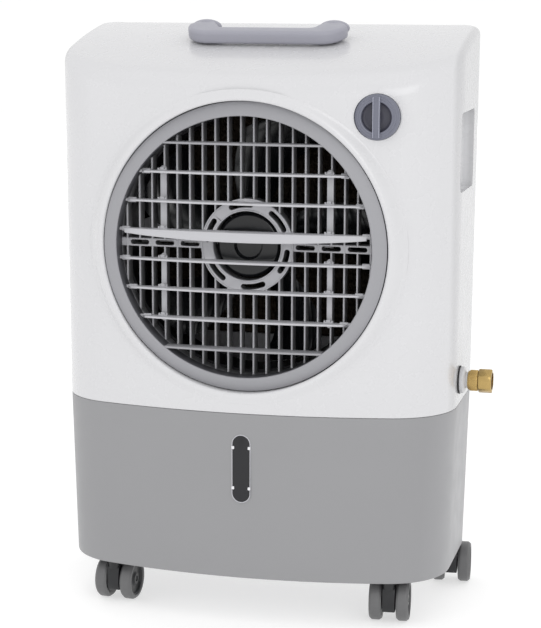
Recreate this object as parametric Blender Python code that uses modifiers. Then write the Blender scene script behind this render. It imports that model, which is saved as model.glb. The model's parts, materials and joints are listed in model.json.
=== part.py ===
"""Portable evaporative cooler on casters, one object for each separate piece.

Units are metres, +Z is up. Everything is placed in the cooler's own frame: X is 0 on the
plane of symmetry of the body and +X is the side of the hose inlet, Y is 0 on the outer edge
of the outlet ring and grows towards the back, Z is 0 on the floor. The empty called cooler
carries that frame so that the middle of the bottom of the whole object is the world origin.
"""
import math

import bmesh
import bpy
from mathutils import Matrix

# Place of the body frame in the world
BODY_X = -0.01732
BODY_Y = -0.1335

# General
GAP = 0.0003
WALL = 0.003
FINE_STEPS = 40
ROUND_STEPS = 20
SMALL_STEPS = 12

# Body in plan
HALF_WIDTH = 0.2373
CROWN_RADIUS = 0.770
CROWN_FRONT_Y = -0.0092
FRONT_CORNER = 0.080
BACK_Y = 0.232
BACK_CORNER = 0.034
PLAN_CENTRE_Y = 0.115

# Body in height
TANK_BOTTOM_Z = 0.055
TANK_SCALE_AT_BOTTOM = 0.978
SEAM_Z = 0.253
HOUSING_FLARE = 0.033
TOP_ARC_RADIUS = 0.870
TOP_ARC_Y = 0.321
TOP_ARC_Z = -0.1663
FRONT_EDGE_ROUND = 0.025
SIDE_EDGE_ROUND = 0.010
BACK_EDGE_ROUND = 0.025

# Air outlet
OUTLET_Z = 0.446
RING_OUTER = 0.1677
RING_INNER = 0.1512
RING_WALL = 0.004
COLLAR_INNER = 0.1686
COLLAR_OUTER = 0.1760
COLLAR_BACK_Y = 0.0374
SLAT_PITCH = 0.0341
SLAT_THICK = 0.0025
SLAT_BACK_Y = 0.011
SLAT_FRONT_Y = -0.010
SLAT_BOW = 0.013
BLADE_PLAY = 0.0022
BLADE_TRIM = 0.0045
PIVOT_Y = 0.007
PIN_RADIUS = 0.002
PIN_BORE = 0.0024
GRIP_LIP = 0.008

# Links between the blades
LINK_X = 0.099
LINK_PIN_Y = 0.0142
LINK_WIDTH = 0.008
LINK_THICK = 0.0024
TAB_WIDTH = 0.003
TAB_THICK = 0.002

# Guard, fan and motor
GUARD_FRONT_Y = 0.0175
GUARD_BACK_Y = 0.036
GUARD_RADIUS = 0.1672
GUARD_STEPS = 32
RIB_PITCH = 0.0153
RIB_WIDTH = 0.0023
RIB_COUNT = 20
HUB_INNER = 0.0405
HUB_OUTER = 0.0550
HUB_SLOT_RADIUS = 0.048
HUB_SLOT_WIDTH = 0.0067
HUB_SLOT_SPAN = math.radians(28)
HUB_SLOT_FIRST = math.radians(39)
ARM_HEIGHT = 0.0098
SHROUD_RADIUS = 0.150
SHROUD_FRONT_Y = 0.038
SHROUD_BACK_Y = 0.086
FAN_RADIUS = 0.144
FAN_HUB_RADIUS = 0.038
FAN_HUB_FRONT_Y = 0.023
FAN_HUB_BACK_Y = 0.070
FAN_BLADES = 5
SHAFT_RADIUS = 0.004
SHAFT_FRONT_Y = 0.0465
MOTOR_RADIUS = 0.044
MOTOR_FRONT_Y = 0.088
MOTOR_BACK_Y = 0.145

# Control knob
KNOB_X = 0.1535
KNOB_Z = 0.5985
KNOB_RADIUS = 0.0255
KNOB_SEAT_Y = 0.0113
STEM_RADIUS = 0.003

# Water-level window
WINDOW_Z = 0.187
WINDOW_WIDTH = 0.023
WINDOW_HEIGHT = 0.082
WINDOW_FACE_Y = -0.0085

# Carry handle
HANDLE_AXIS_Y = 0.126
HANDLE_AXIS_Z = 0.6935
HANDLE_HALF = 0.0965
HANDLE_INSIDE = 0.0595
HANDLE_CORNER = 0.030
HANDLE_END_RADIUS = 0.0093
HANDLE_SLOPE = math.radians(16)
HANDLE_REACH = 0.0425
HANDLE_BAR = 0.0205
HANDLE_THICK = 0.0162
HANDLE_PIN = 0.003
EAR_X = 0.078
EAR_HALF_WIDTH = 0.0045
EAR_RADIUS = 0.0052

# Side grip pockets
POCKET_Y = (0.075, 0.170)
POCKET_Z = (0.508, 0.600)
POCKET_DEPTH = 0.015

# Back of the cooler
PANEL_HALF = 0.212
PANEL_Z = (0.291, 0.662)
PANEL_DEPTH = 0.0447
INTAKE_HALF = 0.185
INTAKE_Z = (0.300, 0.645)
PAD_HALF = 0.190
PAD_Y = (0.180, 0.214)
PAD_Z = (0.300, 0.645)

# Hose inlet
INLET_Y = 0.103
INLET_Z = 0.2835
INLET_WALL_X = 0.2378
INLET_END_X = 0.2770

# Casters, each a swivelling frame with two wheels behind its stem
CASTER_WHEEL = 0.025
WHEEL_STEPS = 16
CASTER_WHEEL_WIDTH = 0.015
CASTER_WHEEL_OFFSET = 0.016
CASTER_TRAIL = 0.016
CASTER_STEM = 0.0055
STEM_TOP_Z = 0.090
CASTER_STEMS = {
    "front_left": (-0.1700, 0.0308, math.radians(-4)),
    "front_right": (0.1700, 0.0308, math.radians(5)),
    "rear_left": (-0.2185, 0.2002, math.radians(-4)),
    "rear_right": (0.2185, 0.2002, math.radians(5)),
}
CASTER_BOSS = 0.0095

# Colours (linear RGB), roughness, metallic
WHITE = ((0.80, 0.80, 0.80), 0.25, 0.0)
GREY = ((0.33, 0.33, 0.34), 0.40, 0.0)
RING_GREY = ((0.36, 0.36, 0.38), 0.45, 0.0)
LIGHT_GREY = ((0.55, 0.55, 0.56), 0.45, 0.0)
DARK_GREY = ((0.17, 0.17, 0.21), 0.40, 0.0)
BLACK = ((0.012, 0.012, 0.014), 0.35, 0.0)
RUBBER = ((0.12, 0.12, 0.12), 0.60, 0.0)
BRASS = ((0.50, 0.36, 0.10), 0.30, 1.0)
STEEL = ((0.45, 0.45, 0.45), 0.40, 1.0)
PAD_BROWN = ((0.30, 0.20, 0.09), 0.90, 0.0)
SMOKE = ((0.02, 0.02, 0.03), 0.10, 0.0)
FLOAT_RED = ((0.50, 0.05, 0.03), 0.45, 0.0)

FACING_BACK = (math.radians(-90), 0.0, 0.0)
FACING_RIGHT = (0.0, math.radians(90), 0.0)
OUTLINE_XZ = (math.radians(90), 0.0, 0.0)
OUTLINE_YZ = (math.radians(90), 0.0, math.radians(90))


# ---------------------------------------------------------------- scene and helpers

def clear_scene():
    for obj in list(bpy.data.objects):
        bpy.data.objects.remove(obj, do_unlink=True)
    for collection in list(bpy.data.collections):
        bpy.data.collections.remove(collection)


def new_collection(name):
    collection = bpy.data.collections.new(name)
    bpy.context.scene.collection.children.link(collection)
    return collection


def new_frame_empty():
    empty = bpy.data.objects.new("cooler", None)
    empty.location = (BODY_X, BODY_Y, 0.0)
    PARTS.objects.link(empty)
    return empty


def material(name, look):
    colour, roughness, metallic = look
    mat = bpy.data.materials.new(name)
    mat.use_nodes = True
    shader = mat.node_tree.nodes["Principled BSDF"]
    shader.inputs["Base Color"].default_value = (*colour, 1.0)
    shader.inputs["Roughness"].default_value = roughness
    shader.inputs["Metallic"].default_value = metallic
    return mat


def new_object(name, mesh, location=(0, 0, 0), rotation=(0, 0, 0)):
    obj = bpy.data.objects.new(name, mesh)
    obj.location = location
    obj.rotation_euler = rotation
    obj.parent = FRAME
    PARTS.objects.link(obj)
    return obj


def finish(obj, look):
    """Name the material after the part and shade it smooth with sharp edges."""
    obj.data.materials.clear()
    obj.data.materials.append(material(obj.name, look))
    obj.data.shade_smooth()
    obj.data.set_sharp_from_angle(angle=math.radians(35))
    return obj


def bevel(obj, width, segments=2, angle=40):
    mod = obj.modifiers.new("edge_round", "BEVEL")
    mod.width = width
    mod.segments = segments
    mod.limit_method = "ANGLE"
    mod.angle_limit = math.radians(angle)
    return obj


def boolean(target, tool, operation):
    """Cut or join with a tool object, which moves to the collection of cutters."""
    PARTS.objects.unlink(tool)
    CUTTERS.objects.link(tool)
    tool.hide_render = True
    tool.display_type = "WIRE"
    mod = target.modifiers.new(operation.lower(), "BOOLEAN")
    mod.operation = operation
    mod.solver = "EXACT"
    mod.object = tool
    return target


def cut(target, *tools):
    for tool in tools:
        boolean(target, tool, "DIFFERENCE")
    return target


def join(target, *tools):
    for tool in tools:
        boolean(target, tool, "UNION")
    return target


def bmesh_object(name, build, location=(0, 0, 0), rotation=(0, 0, 0)):
    mesh = bpy.data.meshes.new(name)
    bm = bmesh.new()
    build(bm)
    bm.to_mesh(mesh)
    bm.free()
    return new_object(name, mesh, location, rotation)


def add_box(bm, low, high):
    size = [b - a for a, b in zip(low, high)]
    centre = [(a + b) / 2 for a, b in zip(low, high)]
    matrix = Matrix.Translation(centre) @ Matrix.Diagonal((*size, 1.0))
    bmesh.ops.create_cube(bm, size=1.0, matrix=matrix)


def boxes(name, corners, location=(0, 0, 0), rotation=(0, 0, 0)):
    """One object of axis-aligned boxes, each given by its low and high corner."""
    def build(bm):
        for low, high in corners:
            add_box(bm, low, high)
    return bmesh_object(name, build, location, rotation)


def rods(name, ends, radius, steps=SMALL_STEPS, location=(0, 0, 0)):
    """One object of cylinders parallel to an axis, each given by its two end points."""
    def build(bm):
        for start, end in ends:
            span = [b - a for a, b in zip(start, end)]
            length = math.sqrt(sum(s * s for s in span))
            middle = [(a + b) / 2 for a, b in zip(start, end)]
            turn = Matrix.Identity(4)
            if abs(span[0]) > abs(span[1]) and abs(span[0]) > abs(span[2]):
                turn = Matrix.Rotation(math.radians(90), 4, "Y")
            elif abs(span[1]) > abs(span[2]):
                turn = Matrix.Rotation(math.radians(90), 4, "X")
            bmesh.ops.create_cone(
                bm, cap_ends=True, segments=steps, radius1=radius, radius2=radius,
                depth=length, matrix=Matrix.Translation(middle) @ turn)
    return bmesh_object(name, build, location)


def turned(name, profile, steps=ROUND_STEPS, location=(0, 0, 0), rotation=(0, 0, 0), start=0.0):
    """Solid of revolution about local Z from (radius, height) points, begun at an angle."""
    pairs = zip(profile, profile[1:] + profile[:1])
    area = sum(a[0] * b[1] - b[0] * a[1] for a, b in pairs)
    points = profile if area < 0 else profile[::-1]
    open_ends = points[0][0] == 0 and points[-1][0] == 0
    mesh = bpy.data.meshes.new(name)
    edges = [(i, i + 1) for i in range(len(points) - 1)]
    if not open_ends:
        edges.append((len(points) - 1, 0))
    mesh.from_pydata([(r * math.cos(start), r * math.sin(start), h) for r, h in points], edges, [])
    obj = new_object(name, mesh, location, rotation)
    screw = obj.modifiers.new("turn", "SCREW")
    screw.steps = steps
    screw.render_steps = steps
    screw.use_merge_vertices = True
    screw.merge_threshold = 0.00001
    return obj


def mesh_from_curve(name, curve, location, rotation):
    """Turn a filled or bevelled curve into a welded mesh object."""
    guide = bpy.data.objects.new(name + "_curve", curve)
    PARTS.objects.link(guide)
    bpy.context.view_layer.update()
    evaluated = guide.evaluated_get(bpy.context.evaluated_depsgraph_get())
    mesh = bpy.data.meshes.new_from_object(evaluated)
    bpy.data.objects.remove(guide)
    bm = bmesh.new()
    bm.from_mesh(mesh)
    bmesh.ops.remove_doubles(bm, verts=bm.verts, dist=0.00001)
    bmesh.ops.recalc_face_normals(bm, faces=bm.faces)
    bm.to_mesh(mesh)
    bm.free()
    mesh.name = name
    return new_object(name, mesh, location, rotation)


def flat_solid(name, loops, thickness, location=(0, 0, 0), rotation=(0, 0, 0)):
    """Outline with optional holes in the local XY plane, extruded to both sides along Z."""
    curve = bpy.data.curves.new(name, "CURVE")
    curve.dimensions = "2D"
    curve.fill_mode = "BOTH"
    curve.extrude = thickness / 2
    for loop in loops:
        spline = curve.splines.new("POLY")
        spline.points.add(len(loop) - 1)
        for point, (x, y) in zip(spline.points, loop):
            point.co = (x, y, 0.0, 1.0)
        spline.use_cyclic_u = True
    return mesh_from_curve(name, curve, location, rotation)


def tube(name, points, radius, location=(0, 0, 0)):
    """Round bar along a smooth route."""
    curve = bpy.data.curves.new(name, "CURVE")
    curve.dimensions = "3D"
    curve.bevel_depth = radius
    curve.bevel_resolution = 1
    curve.use_fill_caps = True
    spline = curve.splines.new("POLY")
    spline.points.add(len(points) - 1)
    for point, co in zip(spline.points, points):
        point.co = (*co, 1.0)
    return mesh_from_curve(name, curve, location, (0, 0, 0))


def arc(cx, cy, radius, start, end, count):
    """Points on a circle, angles in radians, ends included."""
    angles = [start + (end - start) * i / count for i in range(count + 1)]
    return [(cx + radius * math.cos(a), cy + radius * math.sin(a)) for a in angles]


def stadium(width, height, count=6):
    """Upright slot with round ends, centred on the origin."""
    radius = width / 2
    top = arc(0, height / 2 - radius, radius, 0, math.pi, count)
    bottom = arc(0, radius - height / 2, radius, math.pi, 2 * math.pi, count)
    return top + bottom


def arc_slot(middle, span, radius, width, count=4):
    """Curved slot with round ends on a circle about the origin."""
    start, end = middle - span / 2, middle + span / 2
    half = width / 2
    outer = arc(0, 0, radius + half, start, end, count)
    inner = arc(0, 0, radius - half, end, start, count)
    cap_end = arc(radius * math.cos(end), radius * math.sin(end), half, end, end + math.pi, 4)
    cap_start = arc(radius * math.cos(start), radius * math.sin(start), half,
                    start + math.pi, start + 2 * math.pi, 4)
    return outer + cap_end[1:-1] + inner + cap_start[1:-1]


def smooth_route(points, steps=3):
    """Catmull-Rom points through a short list of route points."""
    padded = [points[0]] + list(points) + [points[-1]]
    route = []
    for i in range(1, len(padded) - 2):
        p0, p1, p2, p3 = padded[i - 1:i + 3]
        for step in range(steps):
            t = step / steps
            route.append(tuple(
                0.5 * (2 * b + (c - a) * t + (2 * a - 5 * b + 4 * c - d) * t ** 2
                       + (3 * b - a - 3 * c + d) * t ** 3)
                for a, b, c, d in zip(p0, p1, p2, p3)))
    route.append(tuple(points[-1]))
    return route


# ---------------------------------------------------------------- the body in plan and height

def half_outline():
    """Right half of the plan outline as (x, y, normal angle, edge rounding), front to back."""
    offset = CROWN_RADIUS - FRONT_CORNER
    crown_end = math.asin((HALF_WIDTH - FRONT_CORNER) / offset)
    corner_y = CROWN_FRONT_Y + CROWN_RADIUS - offset * math.cos(crown_end)
    rows = []
    for i in range(6):
        a = crown_end * i / 5
        y = CROWN_FRONT_Y + CROWN_RADIUS * (1 - math.cos(a))
        rows.append((CROWN_RADIUS * math.sin(a), y, a, FRONT_EDGE_ROUND))
    for i in range(1, 7):
        t = i / 6
        a = crown_end + (math.pi / 2 - crown_end) * t
        x = HALF_WIDTH - FRONT_CORNER + FRONT_CORNER * math.sin(a)
        y = corner_y - FRONT_CORNER * math.cos(a)
        rows.append((x, y, a, FRONT_EDGE_ROUND + (SIDE_EDGE_ROUND - FRONT_EDGE_ROUND) * t))
    back_start = BACK_Y - BACK_CORNER
    for i in range(1, 4):
        y = corner_y + (back_start - corner_y) * i / 3
        rows.append((HALF_WIDTH, y, math.pi / 2, SIDE_EDGE_ROUND))
    for i in range(1, 5):
        t = i / 4
        a = math.pi / 2 * (1 + t)
        x = HALF_WIDTH - BACK_CORNER + BACK_CORNER * math.sin(a)
        y = back_start - BACK_CORNER * math.cos(a)
        rows.append((x, y, a, SIDE_EDGE_ROUND + (BACK_EDGE_ROUND - SIDE_EDGE_ROUND) * t))
    rows.append((0.10, BACK_Y, math.pi, BACK_EDGE_ROUND))
    rows.append((0.0, BACK_Y, math.pi, BACK_EDGE_ROUND))
    return rows


def full_outline():
    right = half_outline()
    left = [(-x, y, -a, edge) for x, y, a, edge in right[-2:0:-1]]
    return right + left


def top_height(y):
    """Height of the convex top surface at depth y."""
    return TOP_ARC_Z + math.sqrt(TOP_ARC_RADIUS ** 2 - (TOP_ARC_Y - y) ** 2)


def flare(x, z):
    """The upper housing widens slightly towards the top."""
    return x * (1 + HOUSING_FLARE * (z - SEAM_Z))


def inset_ring(outline, inset, height):
    """Outline moved inwards; inset and height are functions of the edge rounding."""
    ring = []
    for x, y, a, edge in outline:
        px = x - inset(edge) * math.sin(a)
        py = y + inset(edge) * math.cos(a)
        ring.append((px, py, height(py, edge)))
    return ring


def loft(name, rings, bottom_cap=False, top_cap=False):
    """Open surface through rings with equal point counts, lowest ring first."""
    mesh = bpy.data.meshes.new(name)
    bm = bmesh.new()
    rows = [[bm.verts.new(p) for p in ring] for ring in rings]
    for low, high in zip(rows, rows[1:]):
        for i in range(len(low)):
            j = (i + 1) % len(low)
            bm.faces.new((low[i], low[j], high[j], high[i]))
    if bottom_cap:
        bm.faces.new(rows[0][::-1])
    if top_cap:
        bm.faces.new(rows[-1])
    bm.to_mesh(mesh)
    bm.free()
    return new_object(name, mesh)


def solidify(obj, thickness):
    mod = obj.modifiers.new("wall", "SOLIDIFY")
    mod.thickness = thickness
    mod.offset = -1.0
    return obj


# ---------------------------------------------------------------- upper housing

def housing_shell():
    outline = full_outline()
    rings = [inset_ring(outline, lambda e: 0.0, lambda y, e: SEAM_Z)]
    for i in range(3):
        a = math.radians(45 * i)
        rings.append(inset_ring(
            outline,
            lambda e, a=a: e * (1 - math.cos(a)),
            lambda y, e, a=a: top_height(y) - e * (1 - math.sin(a))))
    edge_ring = rings[-1]
    for scale in (0.66, 0.26):
        ring = []
        for x, y, _ in edge_ring:
            py = PLAN_CENTRE_Y + (y - PLAN_CENTRE_Y) * scale
            ring.append((x * scale, py, top_height(py)))
        rings.append(ring)
    rings = [[(flare(x, z), y, z) for x, y, z in ring] for ring in rings]
    return solidify(loft("upper_housing", rings, top_cap=True), WALL)


def outlet_plug(name, radius, front_rise):
    """Round plug through the front wall whose front face follows the crown of the face."""
    half = radius + 0.004
    count = 10
    front = []
    for i in range(count + 1):
        x = -half + 2 * half * i / count
        front.append((x, CROWN_FRONT_Y + 0.001 + front_rise * (x / half) ** 2))
    outline = front + [(half, COLLAR_BACK_Y), (-half, COLLAR_BACK_Y)]
    block = flat_solid(name, [outline], 2 * half, location=(0, 0, OUTLET_Z))
    disc = rods(name + "_round", [((0, -0.03, OUTLET_Z), (0, 0.06, OUTLET_Z))], radius, FINE_STEPS)
    return boolean(block, disc, "INTERSECT")


def pocket_boxes(name, grow):
    """Boxes on both sides for the grip pockets, or with grow for the walls around them."""
    inner_x = HALF_WIDTH - POCKET_DEPTH - grow
    outer_x = HALF_WIDTH + (-0.0001 if grow else 0.020)
    y0, y1 = POCKET_Y[0] - grow, POCKET_Y[1] + grow
    z0, z1 = POCKET_Z[0] - grow, POCKET_Z[1] + grow
    right = ((inner_x, y0, z0), (outer_x, y1, z1))
    left = ((-outer_x, y0, z0), (-inner_x, y1, z1))
    return boxes(name, [left, right])


def handle_ears():
    """Two low ears on the top that carry the handle pins."""
    base_z = top_height(HANDLE_AXIS_Y) - 0.002
    top = arc(HANDLE_AXIS_Y, HANDLE_AXIS_Z, EAR_RADIUS, 0, math.pi, 8)
    outline = top + [(HANDLE_AXIS_Y - EAR_RADIUS, base_z - 0.0015),
                     (HANDLE_AXIS_Y + EAR_RADIUS, base_z)]
    return [flat_solid("ear_tool", [outline], 2 * EAR_HALF_WIDTH, (side * EAR_X, 0, 0), OUTLINE_YZ)
            for side in (-1, 1)]


def upper_housing():
    shell = housing_shell()
    join(shell, outlet_plug("collar_tool", COLLAR_OUTER, 0.007))
    seat = rods("seat_tool", [((KNOB_X, KNOB_SEAT_Y - 0.006, KNOB_Z),
                               (KNOB_X, KNOB_SEAT_Y + WALL, KNOB_Z))], 0.0285, ROUND_STEPS)
    join(shell, seat, pocket_boxes("pocket_wall_tool", WALL), *handle_ears())
    cut(shell, rods("outlet_cutter", [((0, -0.03, OUTLET_Z), (0, 0.06, OUTLET_Z))],
                    COLLAR_INNER, FINE_STEPS))
    cut(shell, pocket_boxes("pocket_cutter", 0.0))
    cut(shell, rods("knob_cutter", [((KNOB_X, -0.03, KNOB_Z), (KNOB_X, KNOB_SEAT_Y, KNOB_Z))],
                    KNOB_RADIUS + 0.0007, ROUND_STEPS))
    cut(shell, rods("stem_cutter", [((KNOB_X, 0.0, KNOB_Z), (KNOB_X, 0.03, KNOB_Z))], 0.0036))
    cut(shell, boxes("intake_cutter", [((-INTAKE_HALF, 0.215, INTAKE_Z[0]),
                                        (INTAKE_HALF, 0.25, INTAKE_Z[1]))]))
    cut(shell, rods("pin_cutter", [((-HANDLE_HALF, HANDLE_AXIS_Y, HANDLE_AXIS_Z),
                                    (HANDLE_HALF, HANDLE_AXIS_Y, HANDLE_AXIS_Z))], HANDLE_PIN + GAP))
    cut(shell, rods("inlet_cutter", [((0.21, INLET_Y, INLET_Z), (0.25, INLET_Y, INLET_Z))], 0.0078))
    cut(shell, rods("gland_cutter", [((-0.150, 0.22, 0.272), (-0.150, 0.24, 0.272))], 0.0070))
    finish(shell, WHITE)


# ---------------------------------------------------------------- water tank

def tank_shell():
    outline = full_outline()
    top_z = SEAM_Z - GAP
    rings = []
    for z, inset in ((TANK_BOTTOM_Z, 0.005), (TANK_BOTTOM_Z + 0.0015, 0.0015),
                     (TANK_BOTTOM_Z + 0.005, 0.0), (top_z, 0.0)):
        low = 1 - (z - TANK_BOTTOM_Z) / (top_z - TANK_BOTTOM_Z)
        scale = 1 - (1 - TANK_SCALE_AT_BOTTOM) * low
        ring = inset_ring(outline, lambda e, d=inset: d, lambda y, e, z=z: z)
        rings.append([(x * scale, PLAN_CENTRE_Y + (y - PLAN_CENTRE_Y) * scale, z)
                      for x, y, z in ring])
    return solidify(loft("water_tank", rings, bottom_cap=True), WALL)


def water_tank():
    tank = tank_shell()
    stems = CASTER_STEMS.values()
    bosses = rods("boss_tool", [((x, y, TANK_BOTTOM_Z + 0.001), (x, y, 0.095)) for x, y, _ in stems],
                  CASTER_BOSS)
    sockets = rods("socket_cutter", [((x, y, 0.04), (x, y, 0.092)) for x, y, _ in stems],
                   CASTER_STEM + GAP)
    channel = boxes("channel_tool", [((-0.015, -0.0070, WINDOW_Z - 0.045),
                                      (0.015, 0.0065, WINDOW_Z + 0.045))])
    pocket = flat_solid("window_cutter", [stadium(WINDOW_WIDTH, WINDOW_HEIGHT)], 0.034,
                        (0, -0.0135, WINDOW_Z), OUTLINE_XZ)
    port = rods("port_cutter", [((0, 0.0, WINDOW_Z - 0.034), (0, 0.02, WINDOW_Z - 0.034))], 0.003)
    drain = rods("drain_cutter", [((-0.120, 0.20, 0.078), (-0.120, 0.25, 0.078))], 0.0103)
    join(tank, bosses, channel)
    cut(tank, sockets, pocket, port, drain)
    finish(tank, GREY)


def level_parts():
    """Clear window in the front of the channel and the float behind it."""
    window = flat_solid("level_window", [stadium(WINDOW_WIDTH - 2 * GAP, WINDOW_HEIGHT - 2 * GAP)],
                        0.0025, (0, WINDOW_FACE_Y + 0.00125, WINDOW_Z), OUTLINE_XZ)
    finish(window, SMOKE)
    y0 = WINDOW_FACE_Y + 0.0035
    level = boxes("level_float", [((-0.008, 0.0, -0.006), (0.008, 0.0065, 0.006))],
                  location=(0, y0, WINDOW_Z - 0.024))
    finish(bevel(level, 0.0015), FLOAT_RED)


# ---------------------------------------------------------------- air outlet

def slat_front(x):
    return SLAT_FRONT_Y + SLAT_BOW * (x / RING_INNER) ** 2


def slat_outline(half, trim=0.0, shift=0.0, count=12):
    """Plan outline of a slat with a bowed front edge, moved back by shift; trim cuts its
    front corners back to the pivots."""
    reach = half - trim
    xs = [-reach + 2 * reach * i / count for i in range(count + 1)]
    front = [(x, slat_front(x) + shift) for x in xs]
    back = SLAT_BACK_Y + shift
    if not trim:
        return front + [(half, back), (-half, back)]
    corner = PIVOT_Y - PIN_RADIUS + shift
    return front + [(half, corner), (half, back), (-half, back), (-half, corner)]


def ring_chord(radius, height):
    return math.sqrt(radius ** 2 - height ** 2)


def blade_heights():
    """Heights of the eight slats above the outlet axis, top first."""
    return [SLAT_PITCH * (3.5 - i) for i in range(8)]


def bezel_ring():
    back = GUARD_FRONT_Y - 0.0007
    outer_wall = RING_INNER + RING_WALL
    profile = [(RING_INNER, -0.006), (RING_INNER + 0.0015, -0.0065), (RING_OUTER, 0.0),
               (RING_OUTER, 0.006), (outer_wall, 0.006), (outer_wall, back), (RING_INNER, back)]
    ring = turned("bezel_ring", profile, FINE_STEPS, (0, 0, OUTLET_Z), FACING_BACK)
    heights = blade_heights()
    for height in (heights[0], heights[-1]):
        half = ring_chord(RING_INNER + 0.002, height)
        slat = flat_solid("slat_tool", [slat_outline(half)], SLAT_THICK,
                          (0, 0, OUTLET_Z + height))
        join(ring, slat)
    bores = []
    for height in heights[1:-1]:
        reach = ring_chord(outer_wall, height) + 0.002
        z = OUTLET_Z + height
        bores.append(((-reach, PIVOT_Y, z), (reach, PIVOT_Y, z)))
    cut(ring, rods("pivot_cutter", bores, PIN_BORE, 12))
    finish(ring, RING_GREY)


def louvre(number, height):
    """Pivoting blade with end pins and two tabs for the links; its origin is on its axis."""
    half = ring_chord(RING_INNER, height) - BLADE_PLAY
    place = (0, PIVOT_Y, OUTLET_Z + height)
    blade = flat_solid(f"louvre_{number}", [slat_outline(half, BLADE_TRIM, -PIVOT_Y)],
                       SLAT_THICK, place)
    pins = [((side * (half - 0.004), 0, 0), (side * (half + 0.005), 0, 0)) for side in (-1, 1)]
    join(blade, rods("pin_tool", pins, PIN_RADIUS, 12, place))
    tab_end = LINK_PIN_Y - PIVOT_Y + 0.0024
    tabs = [((x - TAB_WIDTH / 2, 0.002, -TAB_THICK / 2), (x + TAB_WIDTH / 2, tab_end, TAB_THICK / 2))
            for x in (-LINK_X, LINK_X)]
    join(blade, boxes("tab_tool", tabs, place))
    if number == 4:
        reach = half - 0.010
        xs = [-reach + 2 * reach * i / 12 for i in range(13)]
        front = [(x, slat_front(x) - PIVOT_Y + 0.0002) for x in xs]
        band = front + [(x, y + 0.0022) for x, y in reversed(front)]
        lip = flat_solid("lip_tool", [band], GRIP_LIP, (0, PIVOT_Y, place[2] - GRIP_LIP / 2))
        join(blade, lip)
    finish(blade, LIGHT_GREY)


def link_bar(name, x, leader, heights):
    """Flat bar with a window at each blade; its origin is on the leading blade's tab."""
    low, high = min(heights) - 0.006, max(heights) + 0.006
    lead = heights[leader]
    half = LINK_THICK / 2
    bar = boxes(name, [((-LINK_WIDTH / 2, -half, low - lead), (LINK_WIDTH / 2, half, high - lead))],
                (x, LINK_PIN_Y, OUTLET_Z + lead))
    windows = [((-0.002, -0.01, h - lead - 0.0022), (0.002, 0.01, h - lead + 0.0022))
               for h in heights]
    cut(bar, boxes("link_cutter", windows, bar.location))
    finish(bar, LIGHT_GREY)


def outlet_blades():
    heights = blade_heights()
    for number in range(2, 8):
        louvre(number, heights[number - 1])
    for side, x in (("left", -LINK_X), ("right", LINK_X)):
        link_bar(f"link_upper_{side}", x, 2, heights[1:4])
        link_bar(f"link_lower_{side}", x, 0, heights[4:7])


def guard_slots():
    """Arc slots of the hub ring and oblong slots of the two arms, as one cutter."""
    loops = [arc_slot(HUB_SLOT_FIRST + i * math.pi / 3, HUB_SLOT_SPAN, HUB_SLOT_RADIUS,
                      HUB_SLOT_WIDTH) for i in range(6)]
    for side in (-1, 1):
        for i in range(3):
            middle = side * (5 + 2 * i) * RIB_PITCH
            loops.append([(middle + y, x) for x, y in stadium(0.0058, 0.023, 3)][::-1])
    return flat_solid("guard_cutter", loops, 0.08, (0, 0.02, OUTLET_Z), OUTLINE_XZ)


def front_guard():
    rim = RING_INNER + 0.0010
    profile = [(rim, GUARD_FRONT_Y), (GUARD_RADIUS, GUARD_FRONT_Y), (GUARD_RADIUS, 0.0205),
               (rim + 0.003, 0.0205), (rim + 0.003, GUARD_BACK_Y), (rim, GUARD_BACK_Y)]
    guard = turned("front_guard", profile, GUARD_STEPS, (0, 0, OUTLET_Z), FACING_BACK)
    ribs = []
    for i in range(RIB_COUNT):
        x = RIB_PITCH * (i - (RIB_COUNT - 1) / 2)
        reach = ring_chord(rim + 0.0014, abs(x) + RIB_WIDTH / 2)
        ribs.append(((x - RIB_WIDTH / 2, GUARD_FRONT_Y + 0.0005, OUTLET_Z - reach),
                     (x + RIB_WIDTH / 2, GUARD_BACK_Y - 0.0005, OUTLET_Z + reach)))
    arm_reach = ring_chord(rim + 0.0016, ARM_HEIGHT / 2)
    arms = [((side * HUB_INNER, GUARD_FRONT_Y + 0.001, OUTLET_Z - ARM_HEIGHT / 2),
             (side * arm_reach, GUARD_BACK_Y - 0.001, OUTLET_Z + ARM_HEIGHT / 2))
            for side in (-1, 1)]
    arms = [(tuple(map(min, a, b)), tuple(map(max, a, b))) for a, b in arms]
    hub = rods("hub_tool", [((0, GUARD_FRONT_Y + 0.0002, OUTLET_Z), (0, 0.0357, OUTLET_Z))],
               HUB_OUTER, ROUND_STEPS)
    join(guard, boxes("rib_tool", ribs), boxes("arm_tool", arms), hub)
    cut(guard, rods("hub_cutter", [((0, -0.02, OUTLET_Z), (0, 0.08, OUTLET_Z))],
                    HUB_INNER, ROUND_STEPS))
    cut(guard, guard_slots())
    finish(guard, LIGHT_GREY)


# ---------------------------------------------------------------- fan and motor

def fan_shroud():
    inner, outer = SHROUD_RADIUS, SHROUD_RADIUS + WALL
    profile = [(inner, SHROUD_FRONT_Y), (0.166, SHROUD_FRONT_Y), (0.166, SHROUD_FRONT_Y + WALL),
               (outer, SHROUD_FRONT_Y + WALL), (outer, SHROUD_BACK_Y - WALL),
               (0.165, SHROUD_BACK_Y - WALL), (0.165, SHROUD_BACK_Y), (inner, SHROUD_BACK_Y)]
    finish(turned("fan_shroud", profile, FINE_STEPS, (0, 0, OUTLET_Z), FACING_BACK), BLACK)


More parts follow.
